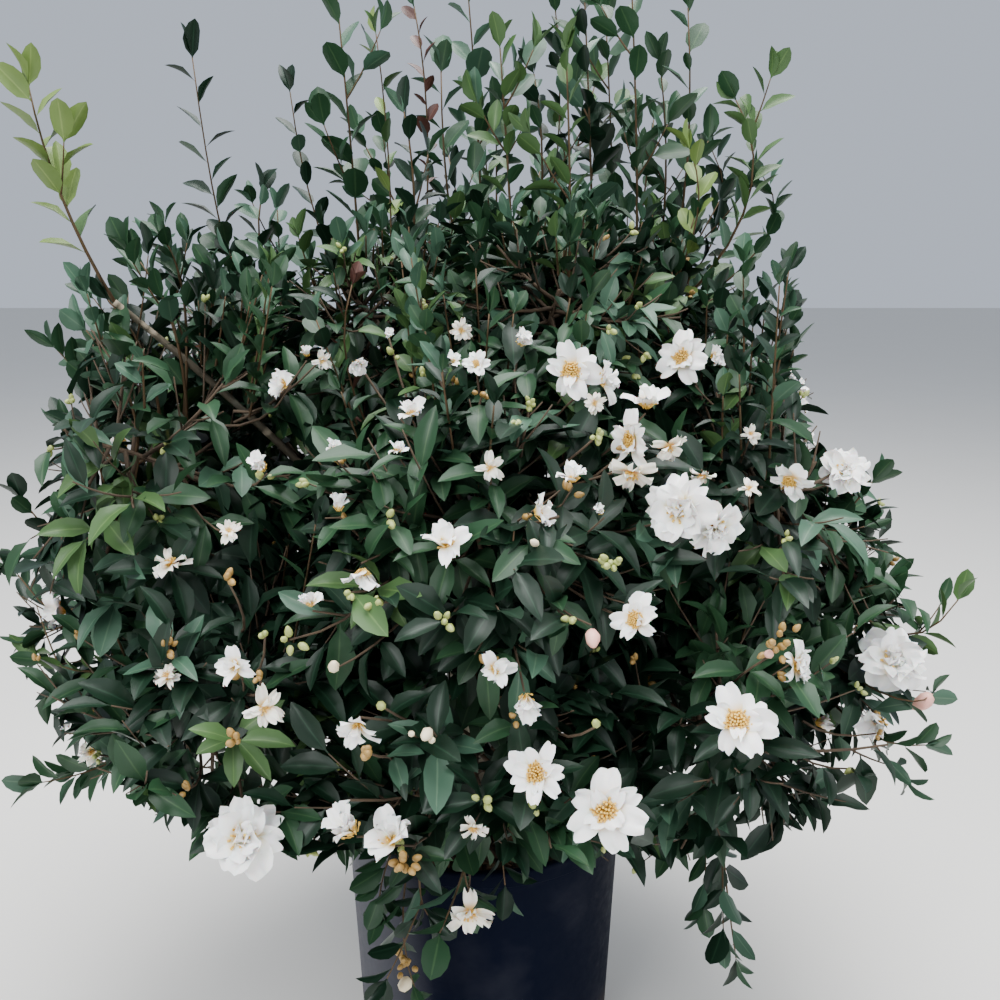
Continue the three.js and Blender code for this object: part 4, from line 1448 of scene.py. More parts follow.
LEAF_SHAPES = (
    LeafShape(width=0.37, fold=0.35, curl=0.24, wave=0.12),
    LeafShape(width=0.35, fold=0.5, curl=0.36, wave=-0.15),
    LeafShape(width=0.4, fold=0.25, curl=0.14, wave=0.2),
    LeafShape(width=0.33, fold=0.42, curl=0.46, wave=0.1),
    LeafShape(width=0.54, fold=0.25, curl=0.08, wave=0.08, widths=(0.05, 0.1, 0.78, 1, 0.92, 0.6, 0)),
    LeafShape(width=0.42, fold=0.4, curl=0.18, wave=0.1, widths=(0.05, 0.1, 0.74, 1, 0.92, 0.56, 0)),
    LeafShape(width=0.34, fold=0.45, curl=0.26, wave=0.12),
)


@dataclass(frozen=True)
class Whorl:
    """A ring of petals: how many, how long and wide, and how they tilt and cup."""

    petals: int
    length: float
    width: float
    tilt: float
    cup: float
    start_turn: float = 0


@dataclass(frozen=True)
class BloomShape:
    """A bloom of unit diameter, facing +X: whorls of ruffled petals and a tuft of stamens."""

    whorls: tuple[Whorl, ...]
    stamens: int
    tuft: float
    seed: int
    ruffle: float = 0.045

    def petal(self, mesh: BMesh, whorl: Whorl, turn: float, rng: Random) -> None:
        """Adds one petal, notched at its tip, twisted a little and ruffled along its edge.

        Args:
            mesh: the bloom's bmesh.
            whorl: the ring it belongs to.
            turn: its place in that ring, in radians.
            rng: the bloom's random numbers.
        """
        phase = rng.uniform(0, 6.3)
        length = whorl.length * rng.uniform(0.8, 1.1)
        width = whorl.width * rng.uniform(0.66, 1.14)
        notch = rng.uniform(0.03, 0.2)
        tilt = math.radians(whorl.tilt + rng.uniform(-18, 24))
        cup = whorl.cup * rng.uniform(0.4, 1.5)
        twist = rng.uniform(-0.5, 0.5)
        aside = rng.uniform(-0.16, 0.16)

        def shape(along: float, across: float) -> tuple[float, float, float]:
            """Gives the petal's point at a place on the sheet."""
            rounding = math.sqrt(max(0.0, 1 - (max(0.0, along - 0.6) / 0.46) ** 2))
            flare = math.sin(min(1.0, along / 0.62 + 0.1) * math.pi / 2)
            half = width / 2 * flare * (0.25 + 0.75 * rounding)
            notched = notch * (1 - abs(across)) ** 1.5 * along**3 + 0.05 * abs(across) ** 3 * along**2
            out = length * (along - notched)
            ruffle = self.ruffle * math.sin(across * 5.2 + phase) * along**2
            ruffle += self.ruffle * 0.5 * math.sin(across * 9 + 2 * phase) * along**3
            rise = cup * (across**2 * 0.3 * width * along + 0.45 * length * along * (1 - along)) + ruffle
            rise += twist * half * across * along - 0.1 * length * max(0.0, along - 0.7) * 2
            flat = out * math.cos(tilt) - rise * math.sin(tilt)
            side = half * across + aside * length * along**2
            return (out * math.sin(tilt) + rise * math.cos(tilt), side, flat)

        verts = sheet_blank(6, 6, shape, mesh)
        turn_about(mesh, verts, turn, "X")

    def petal_blank(self) -> Blank:
        """Makes the petals of the bloom as one blank."""
        rng = Random(self.seed)
        mesh = bmesh.new()
        for whorl in self.whorls:
            for i in range(whorl.petals):
                turn = 2 * math.pi * (i + rng.uniform(-0.16, 0.16)) / whorl.petals + whorl.start_turn
                self.petal(mesh, whorl, turn, rng)
        return Blank.of(mesh)

    def stamen_blank(self) -> Blank:
        """Makes the stamens as one blank: thin threads, each with a small anther."""
        rng = Random(self.seed + 50)
        mesh = bmesh.new()
        for i in range(self.stamens):
            spread = math.sqrt((i + 0.5) / self.stamens)
            turn = i * GOLDEN_TURN
            lean = spread * math.radians(46) * rng.uniform(0.8, 1.2)
            height = self.tuft * rng.uniform(0.8, 1.12)
            thread = bmesh.ops.create_cone(
                mesh, cap_ends=False, segments=3, radius1=0.01, radius2=0.007, depth=height
            )["verts"]
            bmesh.ops.translate(mesh, verts=thread, vec=(0, 0, height / 2))
            anther = bmesh.ops.create_cube(mesh, size=0.034)["verts"]
            bmesh.ops.scale(mesh, verts=anther, vec=(0.8, 0.8, 1.3))
            bmesh.ops.translate(mesh, verts=anther, vec=(0, 0, height))
            verts = thread + anther
            turn_about(mesh, verts, lean, "Y")
            bmesh.ops.translate(mesh, verts=verts, vec=(0.07 * spread, 0, 0))
            turn_about(mesh, verts, turn, "Z")
        turn_about(mesh, mesh.verts, math.pi / 2, "Y")
        return Blank.of(mesh)


BLOOM_SHAPES = {
    OPEN: (
        BloomShape((Whorl(6, 0.52, 0.38, 12, 0.5), Whorl(3, 0.42, 0.3, 30, 0.6, 0.5)), 60, 0.14, 11),
        BloomShape((Whorl(7, 0.52, 0.34, 18, 0.4), Whorl(3, 0.4, 0.28, 36, 0.6, 0.2)), 60, 0.15, 12),
        BloomShape((Whorl(6, 0.54, 0.36, 4, 0.4), Whorl(4, 0.4, 0.26, 28, 0.5, 0.6)), 56, 0.14, 13),
    ),
    FULL: (
        BloomShape(
            (Whorl(7, 0.5, 0.44, 4, 0.6), Whorl(6, 0.4, 0.38, 28, 0.8, 0.4), Whorl(4, 0.27, 0.28, 54, 1.0)),
            stamens=18, tuft=0.15, seed=21, ruffle=0.055,
        ),
        BloomShape(
            (Whorl(7, 0.5, 0.42, 0, 0.6), Whorl(6, 0.41, 0.37, 24, 0.8, 0.3), Whorl(5, 0.28, 0.26, 50, 1.0)),
            stamens=16, tuft=0.15, seed=22, ruffle=0.06,
        ),
        BloomShape(
            (
                Whorl(6, 0.52, 0.42, 10, 0.4),
                Whorl(6, 0.41, 0.36, 34, 0.7, 0.2),
                Whorl(4, 0.28, 0.28, 58, 0.9),
            ),
            stamens=18, tuft=0.15, seed=23, ruffle=0.06,
        ),
    ),
    CUPPED: (
        BloomShape((Whorl(5, 0.52, 0.4, 40, 0.6), Whorl(4, 0.44, 0.3, 56, 0.8, 0.6)), 18, 0.15, 31),
        BloomShape((Whorl(6, 0.54, 0.34, 32, 0.5), Whorl(3, 0.42, 0.28, 58, 0.8, 0.3)), 18, 0.15, 32),
        BloomShape((Whorl(4, 0.54, 0.36, 48, 0.5), Whorl(4, 0.46, 0.3, 62, 0.6, 0.5)), 12, 0.15, 33),
    ),
    SPENT: (
        BloomShape((Whorl(6, 0.54, 0.3, 2, -0.3), Whorl(4, 0.46, 0.28, 32, 0.4, 0.9)), 16, 0.13, 41, 0.07),
        BloomShape((Whorl(5, 0.52, 0.3, 14, -0.2), Whorl(4, 0.46, 0.28, 44, 0.4, 0.4)), 14, 0.13, 42, 0.07),
        BloomShape((Whorl(5, 0.54, 0.3, -8, 0.3), Whorl(3, 0.46, 0.28, 34, 0.3, 0.7)), 12, 0.13, 43, 0.07),
    ),
}


def bud_blank() -> Blank:
    """Makes a bud of unit width: an egg with a short point, +X towards its tip."""
    mesh = bmesh.new()
    bmesh.ops.create_uvsphere(mesh, u_segments=7, v_segments=5, radius=0.5)
    for vert in mesh.verts:
        height = vert.co.z
        vert.co.z = height * 1.2 + 0.3 * max(0.0, height) ** 2
        vert.co.x *= 0.88 - 0.5 * max(0.0, height)
        vert.co.y *= 0.88 - 0.5 * max(0.0, height)
    turn_about(mesh, mesh.verts, math.pi / 2, "Y")
    return Blank.of(mesh)


def rod_blank(sides: int, rings: int) -> Blank:
    """Makes a closed rod of unit radius and length along +Z, to be bent into a limb."""
    mesh = bmesh.new()
    bmesh.ops.create_circle(mesh, cap_ends=True, segments=sides, radius=1)
    top = list(mesh.faces)
    for _ in range(rings):
        made = bmesh.ops.extrude_face_region(mesh, geom=top)["geom"]
        verts = [item for item in made if isinstance(item, BMVert)]
        bmesh.ops.translate(mesh, vec=(0, 0, 1 / rings), verts=verts)
        top = [item for item in made if isinstance(item, BMFace)]
    bmesh.ops.recalc_face_normals(mesh, faces=mesh.faces)
    return Blank.of(mesh)


def bent_rods(rod: Blank, twigs: Sequence[Twig]) -> np.ndarray:
    """Bends a rod blank along each twig's curve.

    Args:
        rod: the rod.
        twigs: the twigs.

    Returns:
        The points of every bent rod.
    """
    places = [(twig.bend.root, twig.bend.middle, twig.bend.tip) for twig in twigs]
    roots, middles, tips = (np.array(part)[:, None] for part in zip(*places))
    radii = np.array([twig.radius for twig in twigs])[..., None]
    t = rod.points[None, :, 2:]
    centre = (1 - t) ** 2 * roots + 2 * t * (1 - t) * middles + t**2 * tips
    heading = unit((1 - t) * (middles - roots) + t * (tips - middles))
    chord = unit(tips - roots)
    is_steep = np.abs(chord[..., 2:]) > 0.7
    across = np.where(is_steep, np.array([0.0, 1.0, 0.0]), UP)
    side = unit(np.cross(np.broadcast_to(across, heading.shape), heading))
    other = np.cross(heading, side)
    radius = radii[:, :1] + (radii[:, 1:] - radii[:, :1]) * t
    return centre + (side * rod.points[None, :, :1] + other * rod.points[None, :, 1:2]) * radius


def linear(hex_colour: str) -> tuple[float, float, float, float]:
    """Turns an sRGB hex value into linear red, green, blue and alpha."""
    channels = [int(hex_colour[i : i + 2], 16) / 255 for i in (1, 3, 5)]
    straight = [c / 12.92 if c <= 0.04045 else ((c + 0.055) / 1.055) ** 2.4 for c in channels]
    return (*straight, 1.0)


def add_node(
    tree: NodeTree,
    kind: str,
    settings: dict[str, object] | None = None,
    links: dict[str, NodeSocket] | None = None,
) -> Node:
    """Adds a node with its settings and links.

    Args:
        tree: the material's node tree.
        kind: the node's type.
        settings: values by socket or property name.
        links: sockets to link in, by input name.

    Returns:
        The node.
    """
    node = tree.nodes.new(kind)
    for name, value in (settings or {}).items():
        sockets = [socket for socket in node.inputs if name in (socket.identifier, socket.name)]
        if sockets:
            sockets[0].default_value = value
        else:
            setattr(node, name, value)
    for name, source in (links or {}).items():
        target = next(socket for socket in node.inputs if name in (socket.identifier, socket.name))
        tree.links.new(source, target)
    return node


def new_material(name: str) -> tuple[Material, NodeTree]:
    """Makes an empty node material."""
    material = bpy.data.materials.new(name)
    material.use_nodes = True
    material.node_tree.nodes.clear()
    return material, material.node_tree


def surface(
    tree: NodeTree, settings: dict[str, object], links: dict[str, NodeSocket]
) -> None:
    """Ends a material with its surface shader and output."""
    shader = add_node(tree, "ShaderNodeBsdfPrincipled", settings, links)
    add_node(tree, "ShaderNodeOutputMaterial", links={"Surface": shader.outputs[0]})


def noise(
    tree: NodeTree, place: NodeSocket, size: float, detail: float, rough: float = 0.5
) -> NodeSocket:
    """Adds a noise pattern.

    Args:
        tree: the material's node tree.
        place: the coordinates it lies on.
        size: its real size in millimetres.
        detail: how many finer layers it has.
        rough: how strong they are.

    Returns:
        Its value.
    """
    settings = {"Scale": 1 / (size * MM), "Detail": detail, "Roughness": rough}
    return add_node(tree, "ShaderNodeTexNoise", settings, {"Vector": place}).outputs[0]


def ramp(
    tree: NodeTree,
    source: NodeSocket,
    span: tuple[float, float],
    ends: tuple[float, float],
    kind: str = "LINEAR",
) -> NodeSocket:
    """Adds a ramp from one range of values to another.

    Args:
        tree: the material's node tree.
        source: the value.
        span: the range it is read over.
        ends: what the two ends of that range become.
        kind: how the ramp runs between them.

    Returns:
        The new value.
    """
    settings = dict(zip(("From Min", "From Max", "To Min", "To Max"), (*span, *ends)))
    settings["interpolation_type"] = kind
    return add_node(tree, "ShaderNodeMapRange", settings, {"Value": source}).outputs[0]


def mix(
    tree: NodeTree,
    share: NodeSocket,
    first: str | NodeSocket,
    second: str,
) -> NodeSocket:
    """Adds a mix of two colours.

    Args:
        tree: the material's node tree.
        share: the second colour's share.
        first: an sRGB hex value, or another node's colour.
        second: an sRGB hex value.

    Returns:
        The mixed colour.
    """
    settings = {"data_type": "RGBA", "B_Color": linear(second)}
    links = {"Factor_Float": share}
    if isinstance(first, str):
        settings["A_Color"] = linear(first)
    else:
        links["A_Color"] = first
    return add_node(tree, "ShaderNodeMix", settings, links).outputs[2]


def bump(
    tree: NodeTree, height: NodeSocket, strength: float, depth: float
) -> NodeSocket:
    """Adds fine relief from a pattern, its depth in millimetres, and gives its normal."""
    settings = {"Strength": strength, "Distance": depth * MM}
    return add_node(tree, "ShaderNodeBump", settings, {"Height": height}).outputs[0]


@dataclass(frozen=True)
class LeafCuticle:
    """Waxy leaf skin: a broken, cool gloss over a patchy, finely puckered green with a paler midrib."""

    tone: Tone
    blade: str
    lit_blade: str
    rib: str
    roughness: float = 0.42
    patch: float = 70
    pucker: float = 9

    def material(self) -> Material:
        """Makes the material."""
        material, tree = new_material(f"leaf_{self.tone.value}")
        place = add_node(tree, "ShaderNodeTexCoord").outputs
        green = mix(tree, noise(tree, place["Object"], self.patch, 2.0), self.blade, self.lit_blade)
        across = add_node(tree, "ShaderNodeSeparateXYZ", links={"Vector": place["UV"]}).outputs["Y"]
        settings = {"operation": "SUBTRACT", "Value_001": 0.5}
        offset = add_node(tree, "ShaderNodeMath", settings, {"Value": across}).outputs[0]
        distance = add_node(tree, "ShaderNodeMath", {"operation": "ABSOLUTE"}, {"Value": offset}).outputs[0]
        colour = mix(tree, ramp(tree, distance, (0.01, 0.05), (0.38, 0.0)), green, self.rib)
        relief = bump(tree, noise(tree, place["Object"], self.pucker, 1.0), 0.14, 1.0)
        settings = {"Roughness": self.roughness, "Specular IOR Level": 0.3, "IOR": 1.45}
        surface(tree, settings, {"Base Color": colour, "Normal": relief})
        return material


# The deep and mid greens are the leaves' own dark colour, darkened further as painted shade for the crown's
# shaded middle, where they grow most.
LEAF_FINISHES = (
    LeafCuticle(DEEP, "#0b1d12", "#132a1b", "#2e4b38"),
    LeafCuticle(MID, "#193120", "#29482d", "#4c6743"),
    LeafCuticle(SAGE, "#2b4638", "#42604b", "#668166"),
    LeafCuticle(FRESH, "#304a28", "#466237", "#6b864f"),
    LeafCuticle(YOUNG, "#4d642e", "#6c8144", "#8c9d5c"),
    LeafCuticle(BRONZE, "#35201b", "#4f322b", "#6f4f43"),
)


@dataclass(frozen=True)
class PetalTissue:
    """Soft petal: matt white that lets some light in, finely puckered, and creamy towards its claw."""

    name: str
    blade: str
    claw: str
    pucker: float = 4.4
    roughness: float = 0.55

    def material(self) -> Material:
        """Makes the material."""
        material, tree = new_material(self.name)
        place = add_node(tree, "ShaderNodeTexCoord").outputs
        along = add_node(tree, "ShaderNodeSeparateXYZ", links={"Vector": place["UV"]}).outputs["X"]
        near_claw = ramp(tree, along, (0.08, 0.55), (1.0, 0.0), "SMOOTHSTEP")
        colour = mix(tree, near_claw, self.blade, self.claw)
        relief = bump(tree, noise(tree, place["Object"], self.pucker, 2.0), 0.2, 0.8)
        settings = {"Roughness": self.roughness, "Specular IOR Level": 0.35}
        settings |= {"Subsurface Weight": 0.2, "Subsurface Scale": 0.004}
        surface(tree, settings, {"Base Color": colour, "Normal": relief})
        return material


@dataclass(frozen=True)
class PlantSkin:
    """Small plant surfaces, such as stamens, bud scales and twigs: two close colours in fine patches."""

    name: str
    base: str
    tint: str
    patch: float
    roughness: float

    def material(self) -> Material:
        """Makes the material."""
        material, tree = new_material(self.name)
        place = add_node(tree, "ShaderNodeTexCoord").outputs["Object"]
        patches = noise(tree, place, self.patch, 3.0)
        colour = mix(tree, patches, self.base, self.tint)
        relief = bump(tree, patches, 0.3, 0.6)
        surface(tree, {"Roughness": self.roughness}, {"Base Color": colour, "Normal": relief})
        return material


@dataclass(frozen=True)
class CamelliaBark:
    """Smooth old bark: pale grey-brown with paler lichen patches and fine upright fissures, darker in their
    low places as painted shade.
    """

    base: str = "#978c78"
    shade: str = "#6e6555"
    lichen: str = "#b4b2a0"
    fissure: float = 5
    patch: float = 34
    roughness: float = 0.85

    def material(self) -> Material:
        """Makes the material."""
        material, tree = new_material("camellia_bark")
        place = add_node(tree, "ShaderNodeTexCoord").outputs["Object"]
        drawn = add_node(tree, "ShaderNodeMapping", {"Scale": (1.0, 1.0, 0.25)}, {"Vector": place})
        fissures = noise(tree, drawn.outputs[0], self.fissure, 4.0)
        # The fissures' low places take the shade colour: painted shade in the fissures.
        wood = mix(tree, fissures, self.shade, self.base)
        on_lichen = ramp(tree, noise(tree, place, self.patch, 5.0), (0.54, 0.66), (0.0, 0.8))
        colour = mix(tree, on_lichen, wood, self.lichen)
        relief = bump(tree, fissures, 0.6, 2.0)
        surface(tree, {"Roughness": self.roughness}, {"Base Color": colour, "Normal": relief})
        return material


@dataclass(frozen=True)
class PotPolymer:
    """Moulded polythene: blue-black with a low sheen, clouds of dust, dust and a painted sheen on the side
    towards -X, and splashes at the foot.
    """

    base: str = "#070c1b"
    dust_and_sheen: str = "#737378"
    soil: str = "#6a5a48"
    cloud: float = 130
    scuff: float = 16
    splash_height: float = 90
    dust_and_sheen_side: tuple[float, float] = (-210, -70)

    def material(self) -> Material:
        """Makes the material."""
        material, tree = new_material("pot_polymer")
        place = add_node(tree, "ShaderNodeTexCoord").outputs["Object"]
        axes = add_node(tree, "ShaderNodeSeparateXYZ", links={"Vector": place}).outputs
        clouds = ramp(tree, noise(tree, place, self.cloud, 4.0, 0.6), (0.48, 0.8), (0.0, 0.07))
        # Lighter towards -X: partly dust, partly a painted sheen where light falls on that side.
        side = ramp(tree, axes["X"], tuple(x * MM for x in self.dust_and_sheen_side), (0.62, 0.0))
        settings = {"operation": "ADD", "use_clamp": True}
        dust_and_sheen_share = add_node(tree, "ShaderNodeMath", settings, {"Value": clouds, "Value_001": side}).outputs[0]
        specks = noise(tree, place, self.scuff, 6.0, 0.7)
        low = ramp(tree, axes["Z"], (0.0, self.splash_height * MM), (0.75, 0.0))
        settings = {"operation": "MULTIPLY"}
        splash = add_node(tree, "ShaderNodeMath", settings, {"Value": low, "Value_001": specks}).outputs[0]
        # The pale colour stands for the dust and, on the -X side, for the painted sheen.
        colour = mix(tree, splash, mix(tree, dust_and_sheen_share, self.base, self.dust_and_sheen), self.soil)
        rough = ramp(tree, specks, (0.3, 0.7), (0.5, 0.72))
        relief = bump(tree, specks, 0.15, 1.0)
        settings = {"IOR": 1.5, "Specular IOR Level": 0.03}
        surface(tree, settings, {"Base Color": colour, "Roughness": rough, "Normal": relief})
        return material


class Dresser:
    """Hands pieces over to the frame and logs them."""

    def __init__(self) -> None:
        """Starts with no pieces."""
        self.triangles = 0

    def keep(self, piece: Object, replaced: Sequence[str] = ()) -> None:
        """Makes a piece ride on the part's one body.

        Args:
            piece: the piece.
            replaced: the CAD nodes it stands for.
        """
        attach(piece, "root")
        if replaced:
            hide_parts(*replaced)
        triangles = sum(len(face.vertices) - 2 for face in piece.data.polygons)
        self.triangles += triangles
        LOG.info("%s: %d triangles", piece.name, triangles)


@dataclass
class NurseryPot:
    """The pot as a turned wall with a rolled lip, and its drain holes."""

    sizes: Pot = POT
    steps: int = 128

    def outline(self) -> list[tuple[float, float]]:
        """Gives the wall's outline as radius and height, from the underside round the lip to the floor."""
        pot = self.sizes
        lip_foot = pot.height - pot.lip_height
        inner_top = pot.wall_top_radius - pot.wall
        points = [
            (0.0, 0.0),
            (pot.base_radius - pot.foot_chamfer, 0.0),
            (pot.wall_at(pot.foot_chamfer), pot.foot_chamfer),
            (pot.wall_at(lip_foot - 4), lip_foot - 4),
            (pot.wall_at(lip_foot) + 1, lip_foot - 1),
            (pot.lip_radius - 2, lip_foot),
            (pot.lip_radius, lip_foot + 2),
        ]
        for i in range(7):
            angle = math.pi / 2 * i / 6
            out = pot.lip_radius - pot.lip_round + pot.lip_round * math.cos(angle)
            points.append((out, pot.height - pot.lip_round + pot.lip_round * math.sin(angle)))
        points += [(inner_top + 2, pot.height), (inner_top, pot.height - 2)]
        return [*points, (pot.wall_at(pot.wall) - pot.wall, pot.wall), (0.0, pot.wall)]

    def build(self, dresser: Dresser) -> None:
        """Makes the pot."""
        mesh = bmesh.new()
        verts = [mesh.verts.new((radius, 0, height)) for radius, height in self.outline()]
        edges = [mesh.edges.new(pair) for pair in zip(verts, verts[1:])]
        bmesh.ops.spin(
            mesh, geom=verts + edges, cent=(0, 0, 0), axis=(0, 0, 1), angle=2 * math.pi, steps=self.steps,
            use_merge=True,
        )
        bmesh.ops.remove_doubles(mesh, verts=mesh.verts, dist=0.01)
        bmesh.ops.recalc_face_normals(mesh, faces=mesh.faces)
        pot = as_piece("nursery_pot", mesh, PotPolymer().material())
        self.drill(pot)
        sharp = pot.data.attributes.new("sharp_edge", "BOOLEAN", "EDGE")
        sharp.data.foreach_set("value", self.sharp_edges(pot.data))
        dresser.keep(pot, ["pot"])

    def drill(self, pot: Object) -> None:
        """Cuts the drain holes low in the wall."""
        sizes = self.sizes
        mesh = bmesh.new()
        for hole in range(sizes.drain_holes):
            radius = sizes.drain_radius
            made = bmesh.ops.create_cone(
                mesh, cap_ends=True, segments=24, radius1=radius, radius2=radius, depth=4 * radius
            )["verts"]
            turn_about(mesh, made, math.pi / 2, "X")
            bmesh.ops.translate(mesh, verts=made, vec=(0, sizes.base_radius, sizes.drain_height))
            turn_about(mesh, made, 2 * math.pi * (hole + 0.5) / sizes.drain_holes, "Z")
        drills = as_piece("drills", mesh, pot.data.materials[0])
        cut = pot.modifiers.new("drain_holes", "BOOLEAN")
        cut.object = drills
        cut.operation = "DIFFERENCE"
        cut.solver = "EXACT"
        finished = bpy.data.meshes.new_from_object(pot.evaluated_get(bpy.context.evaluated_depsgraph_get()))
        pot.modifiers.clear()
        pot.data = finished
        bpy.data.objects.remove(drills)

    @staticmethod
    def sharp_edges(mesh: Mesh) -> np.ndarray:
        """Tells which edges of the pot are sharp."""
        shape = bmesh.new()
        shape.from_mesh(mesh)
        limit = math.radians(35)
        sharp = np.array([len(e.link_faces) == 2 and e.calc_face_angle() > limit for e in shape.edges])
        shape.free()
        return sharp


@dataclass
class PottingMix:
    """The bark mix in the pot: a lumpy bed with loose chips on it."""

    chips: int = 900
    chip_length: tuple[float, float] = (9, 30)
    crown: float = 7
    seed: int = 71

    def build(self, dresser: Dresser) -> None:
        """Makes the bed and the chips."""
        rng = Random(self.seed)
        top = POT.height - POT.mix_below_lip
        radius = POT.wall_at(top) - POT.wall - 0.6
        mesh = bmesh.new()
        bmesh.ops.create_grid(mesh, x_segments=90, y_segments=90, size=radius)
        outside = [vert for vert in mesh.verts if vert.co.xy.length > radius * 1.02]
        bmesh.ops.delete(mesh, geom=outside, context="VERTS")
        for vert in mesh.verts:
            share = min(1.0, vert.co.xy.length / radius)
            if share > 0.97:
                vert.co.xy = vert.co.xy.normalized() * radius
            lumps = math.sin(vert.co.x / 9) * math.cos(vert.co.y / 7) * 1.6 + rng.uniform(-1.5, 1.5)
            vert.co.z = top - 5 + self.crown * (1 - share) + lumps * (1 - share**6)
        base = PlantSkin("bark_mix_bed", "#2a1e16", "#3d2d22", 9, 0.95).material()
        dresser.keep(as_piece("potting_mix_bed", mesh, base), ["potting_mix"])
        self.scatter(dresser, rng, top, radius)

    def scatter(self, dresser: Dresser, rng: Random, top: float, radius: float) -> None:
        """Scatters the chips over the bed.

        Args:
            dresser: takes the pieces.
            rng: the mix's random numbers.
            top: the bed's height.
            radius: the bed's radius.
        """
        for name, base, tint in (("dark", "#33261c", "#4a3828"), ("pale", "#5a4534", "#7a6048")):
            count = self.chips * 2 // 3 if name == "dark" else self.chips // 3
            bases = []
            alongs = []
            faces = []
            scales = []
            for _ in range(count):
                distance = math.sqrt(rng.uniform(0.02, 1)) * (radius - 10)
                turn = rng.uniform(0, 2 * math.pi)
                height = top - 3 + self.crown * (1 - distance / radius) + rng.uniform(-1.5, 4)
                bases.append((math.cos(turn) * distance, math.sin(turn) * distance, height))
                alongs.append((rng.uniform(-1, 1), rng.uniform(-1, 1), rng.uniform(-0.35, 0.35)))
                faces.append((rng.uniform(-0.5, 0.5), rng.uniform(-0.5, 0.5), 1))
                length = rng.uniform(*self.chip_length)
                scales.append((length, length * rng.uniform(0.4, 0.8), rng.uniform(2, 5)))
            sheaf = Sheaf()
            chip = self.chip_blank()
            sheaf.add(chip, chip.placed(*(np.array(rows) for rows in (bases, alongs, faces, scales))))
            finish = PlantSkin(f"bark_chip_{name}", base, tint, 6, 0.92).material()
            dresser.keep(sheaf.build(f"bark_chips_{name}", finish, False))

    @staticmethod
    def chip_blank() -> Blank:
        """Makes a bark chip of unit size: a bevelled, skewed block."""
        mesh = bmesh.new()
        bmesh.ops.create_cube(mesh, size=1)
        bmesh.ops.bevel(
            mesh, geom=mesh.edges, offset=0.16, affect="EDGES", segments=1, profile=0.5, material=-1
        )
        for vert in mesh.verts:
            vert.co.x += 0.25 * vert.co.y
            vert.co.y *= 1 - 0.5 * vert.co.x
        return Blank.of(mesh)


@dataclass
class Wood:
    """The stem and boughs as one mesh with the bark's relief, and the twigs."""

    skeleton: Skeleton
    crown: Crown
    sides: int = 16
    ring_gap: float = 7

    def relief(self, bend: Bend, radii: tuple[float, float], flare: float) -> tuple[Blank, np.ndarray]:
        """Makes one limb with shallow ridges, swellings and, on the stem, a root flare.

        Args:
            bend: the limb's curve.
            radii: its radii at root and tip.
            flare: how much wider its foot is.

        Returns:
            The rod it is bent from, and its points.
        """
        length = bend.length()
        rod = rod_blank(self.sides, max(8, round(length / self.ring_gap)))
        angle = np.arctan2(rod.points[:, 1], rod.points[:, 0])
        height = rod.points[:, 2] * length
        phase = bend.root[0] * 0.1
        ridges = 0.035 * np.sin(5 * angle + 0.03 * height + phase) + 0.02 * np.sin(9 * angle - 0.05 * height)
        swelling = 0.05 * np.sin(height / 23 + phase) + 0.03 * np.sin(height / 9 + 2 * phase)
        foot = flare * np.maximum(0, 1 - rod.points[:, 2] / STEM_FLARE_SHARE) ** 2
        lobes = 1 + 0.25 * np.sin(5 * angle + 1)
        girth = 1 + ridges + swelling + foot * lobes
        stretch = np.stack([girth, girth, np.ones_like(girth)], axis=1)
        shaped = Blank(rod.points * stretch, rod.corners, rod.sizes, rod.uvs)
        return rod, bent_rods(shaped, [Twig(bend, radii)])

    def build(self, dresser: Dresser) -> None:
        """Makes the bark mesh and the twigs."""
        sheaf = Sheaf()
        flare = STEM_FLARE_RADIUS / STEM_RADIUS - 1
        sheaf.add(*self.relief(self.skeleton.stem, (STEM_RADIUS, STEM_RADIUS), flare))
        for mass in self.skeleton.masses:
            sheaf.add(*self.relief(mass.bough, mass.bough_radius, 0))
        limbs = ["stem", *(f"bough_{mass.name}" for mass in self.skeleton.masses)]
        dresser.keep(sheaf.build("stem_and_boughs", CamelliaBark().material()), limbs)
        # The twigs' dark brown is partly their own bark and partly painted shade for the crown's shaded
        # inside.
        old = PlantSkin("twig_bark", "#2f251c", "#54432f", 14, 0.85).material()
        for tier, twigs in self.crown.twigs.items():
            stems = [
                Twig(mass.stem, (mass.bough_radius[1], 2.6))
                for mass in self.skeleton.masses
                if mass.tier == tier and not mass.is_spur
            ]
            sheaf = Sheaf()
            rod = rod_blank(4, 4)
            sheaf.add(rod, bent_rods(rod, stems + twigs))
            dresser.keep(sheaf.build(f"twigs_{tier}", old))
        green = PlantSkin("shoot_bark", "#40391f", "#5d4028", 20, 0.75).material()
        sheaf = Sheaf()
        rod = rod_blank(5, 8)
        sheaf.add(rod, bent_rods(rod, self.crown.shoot_stems))
        dresser.keep(sheaf.build("shoot_stems", green))


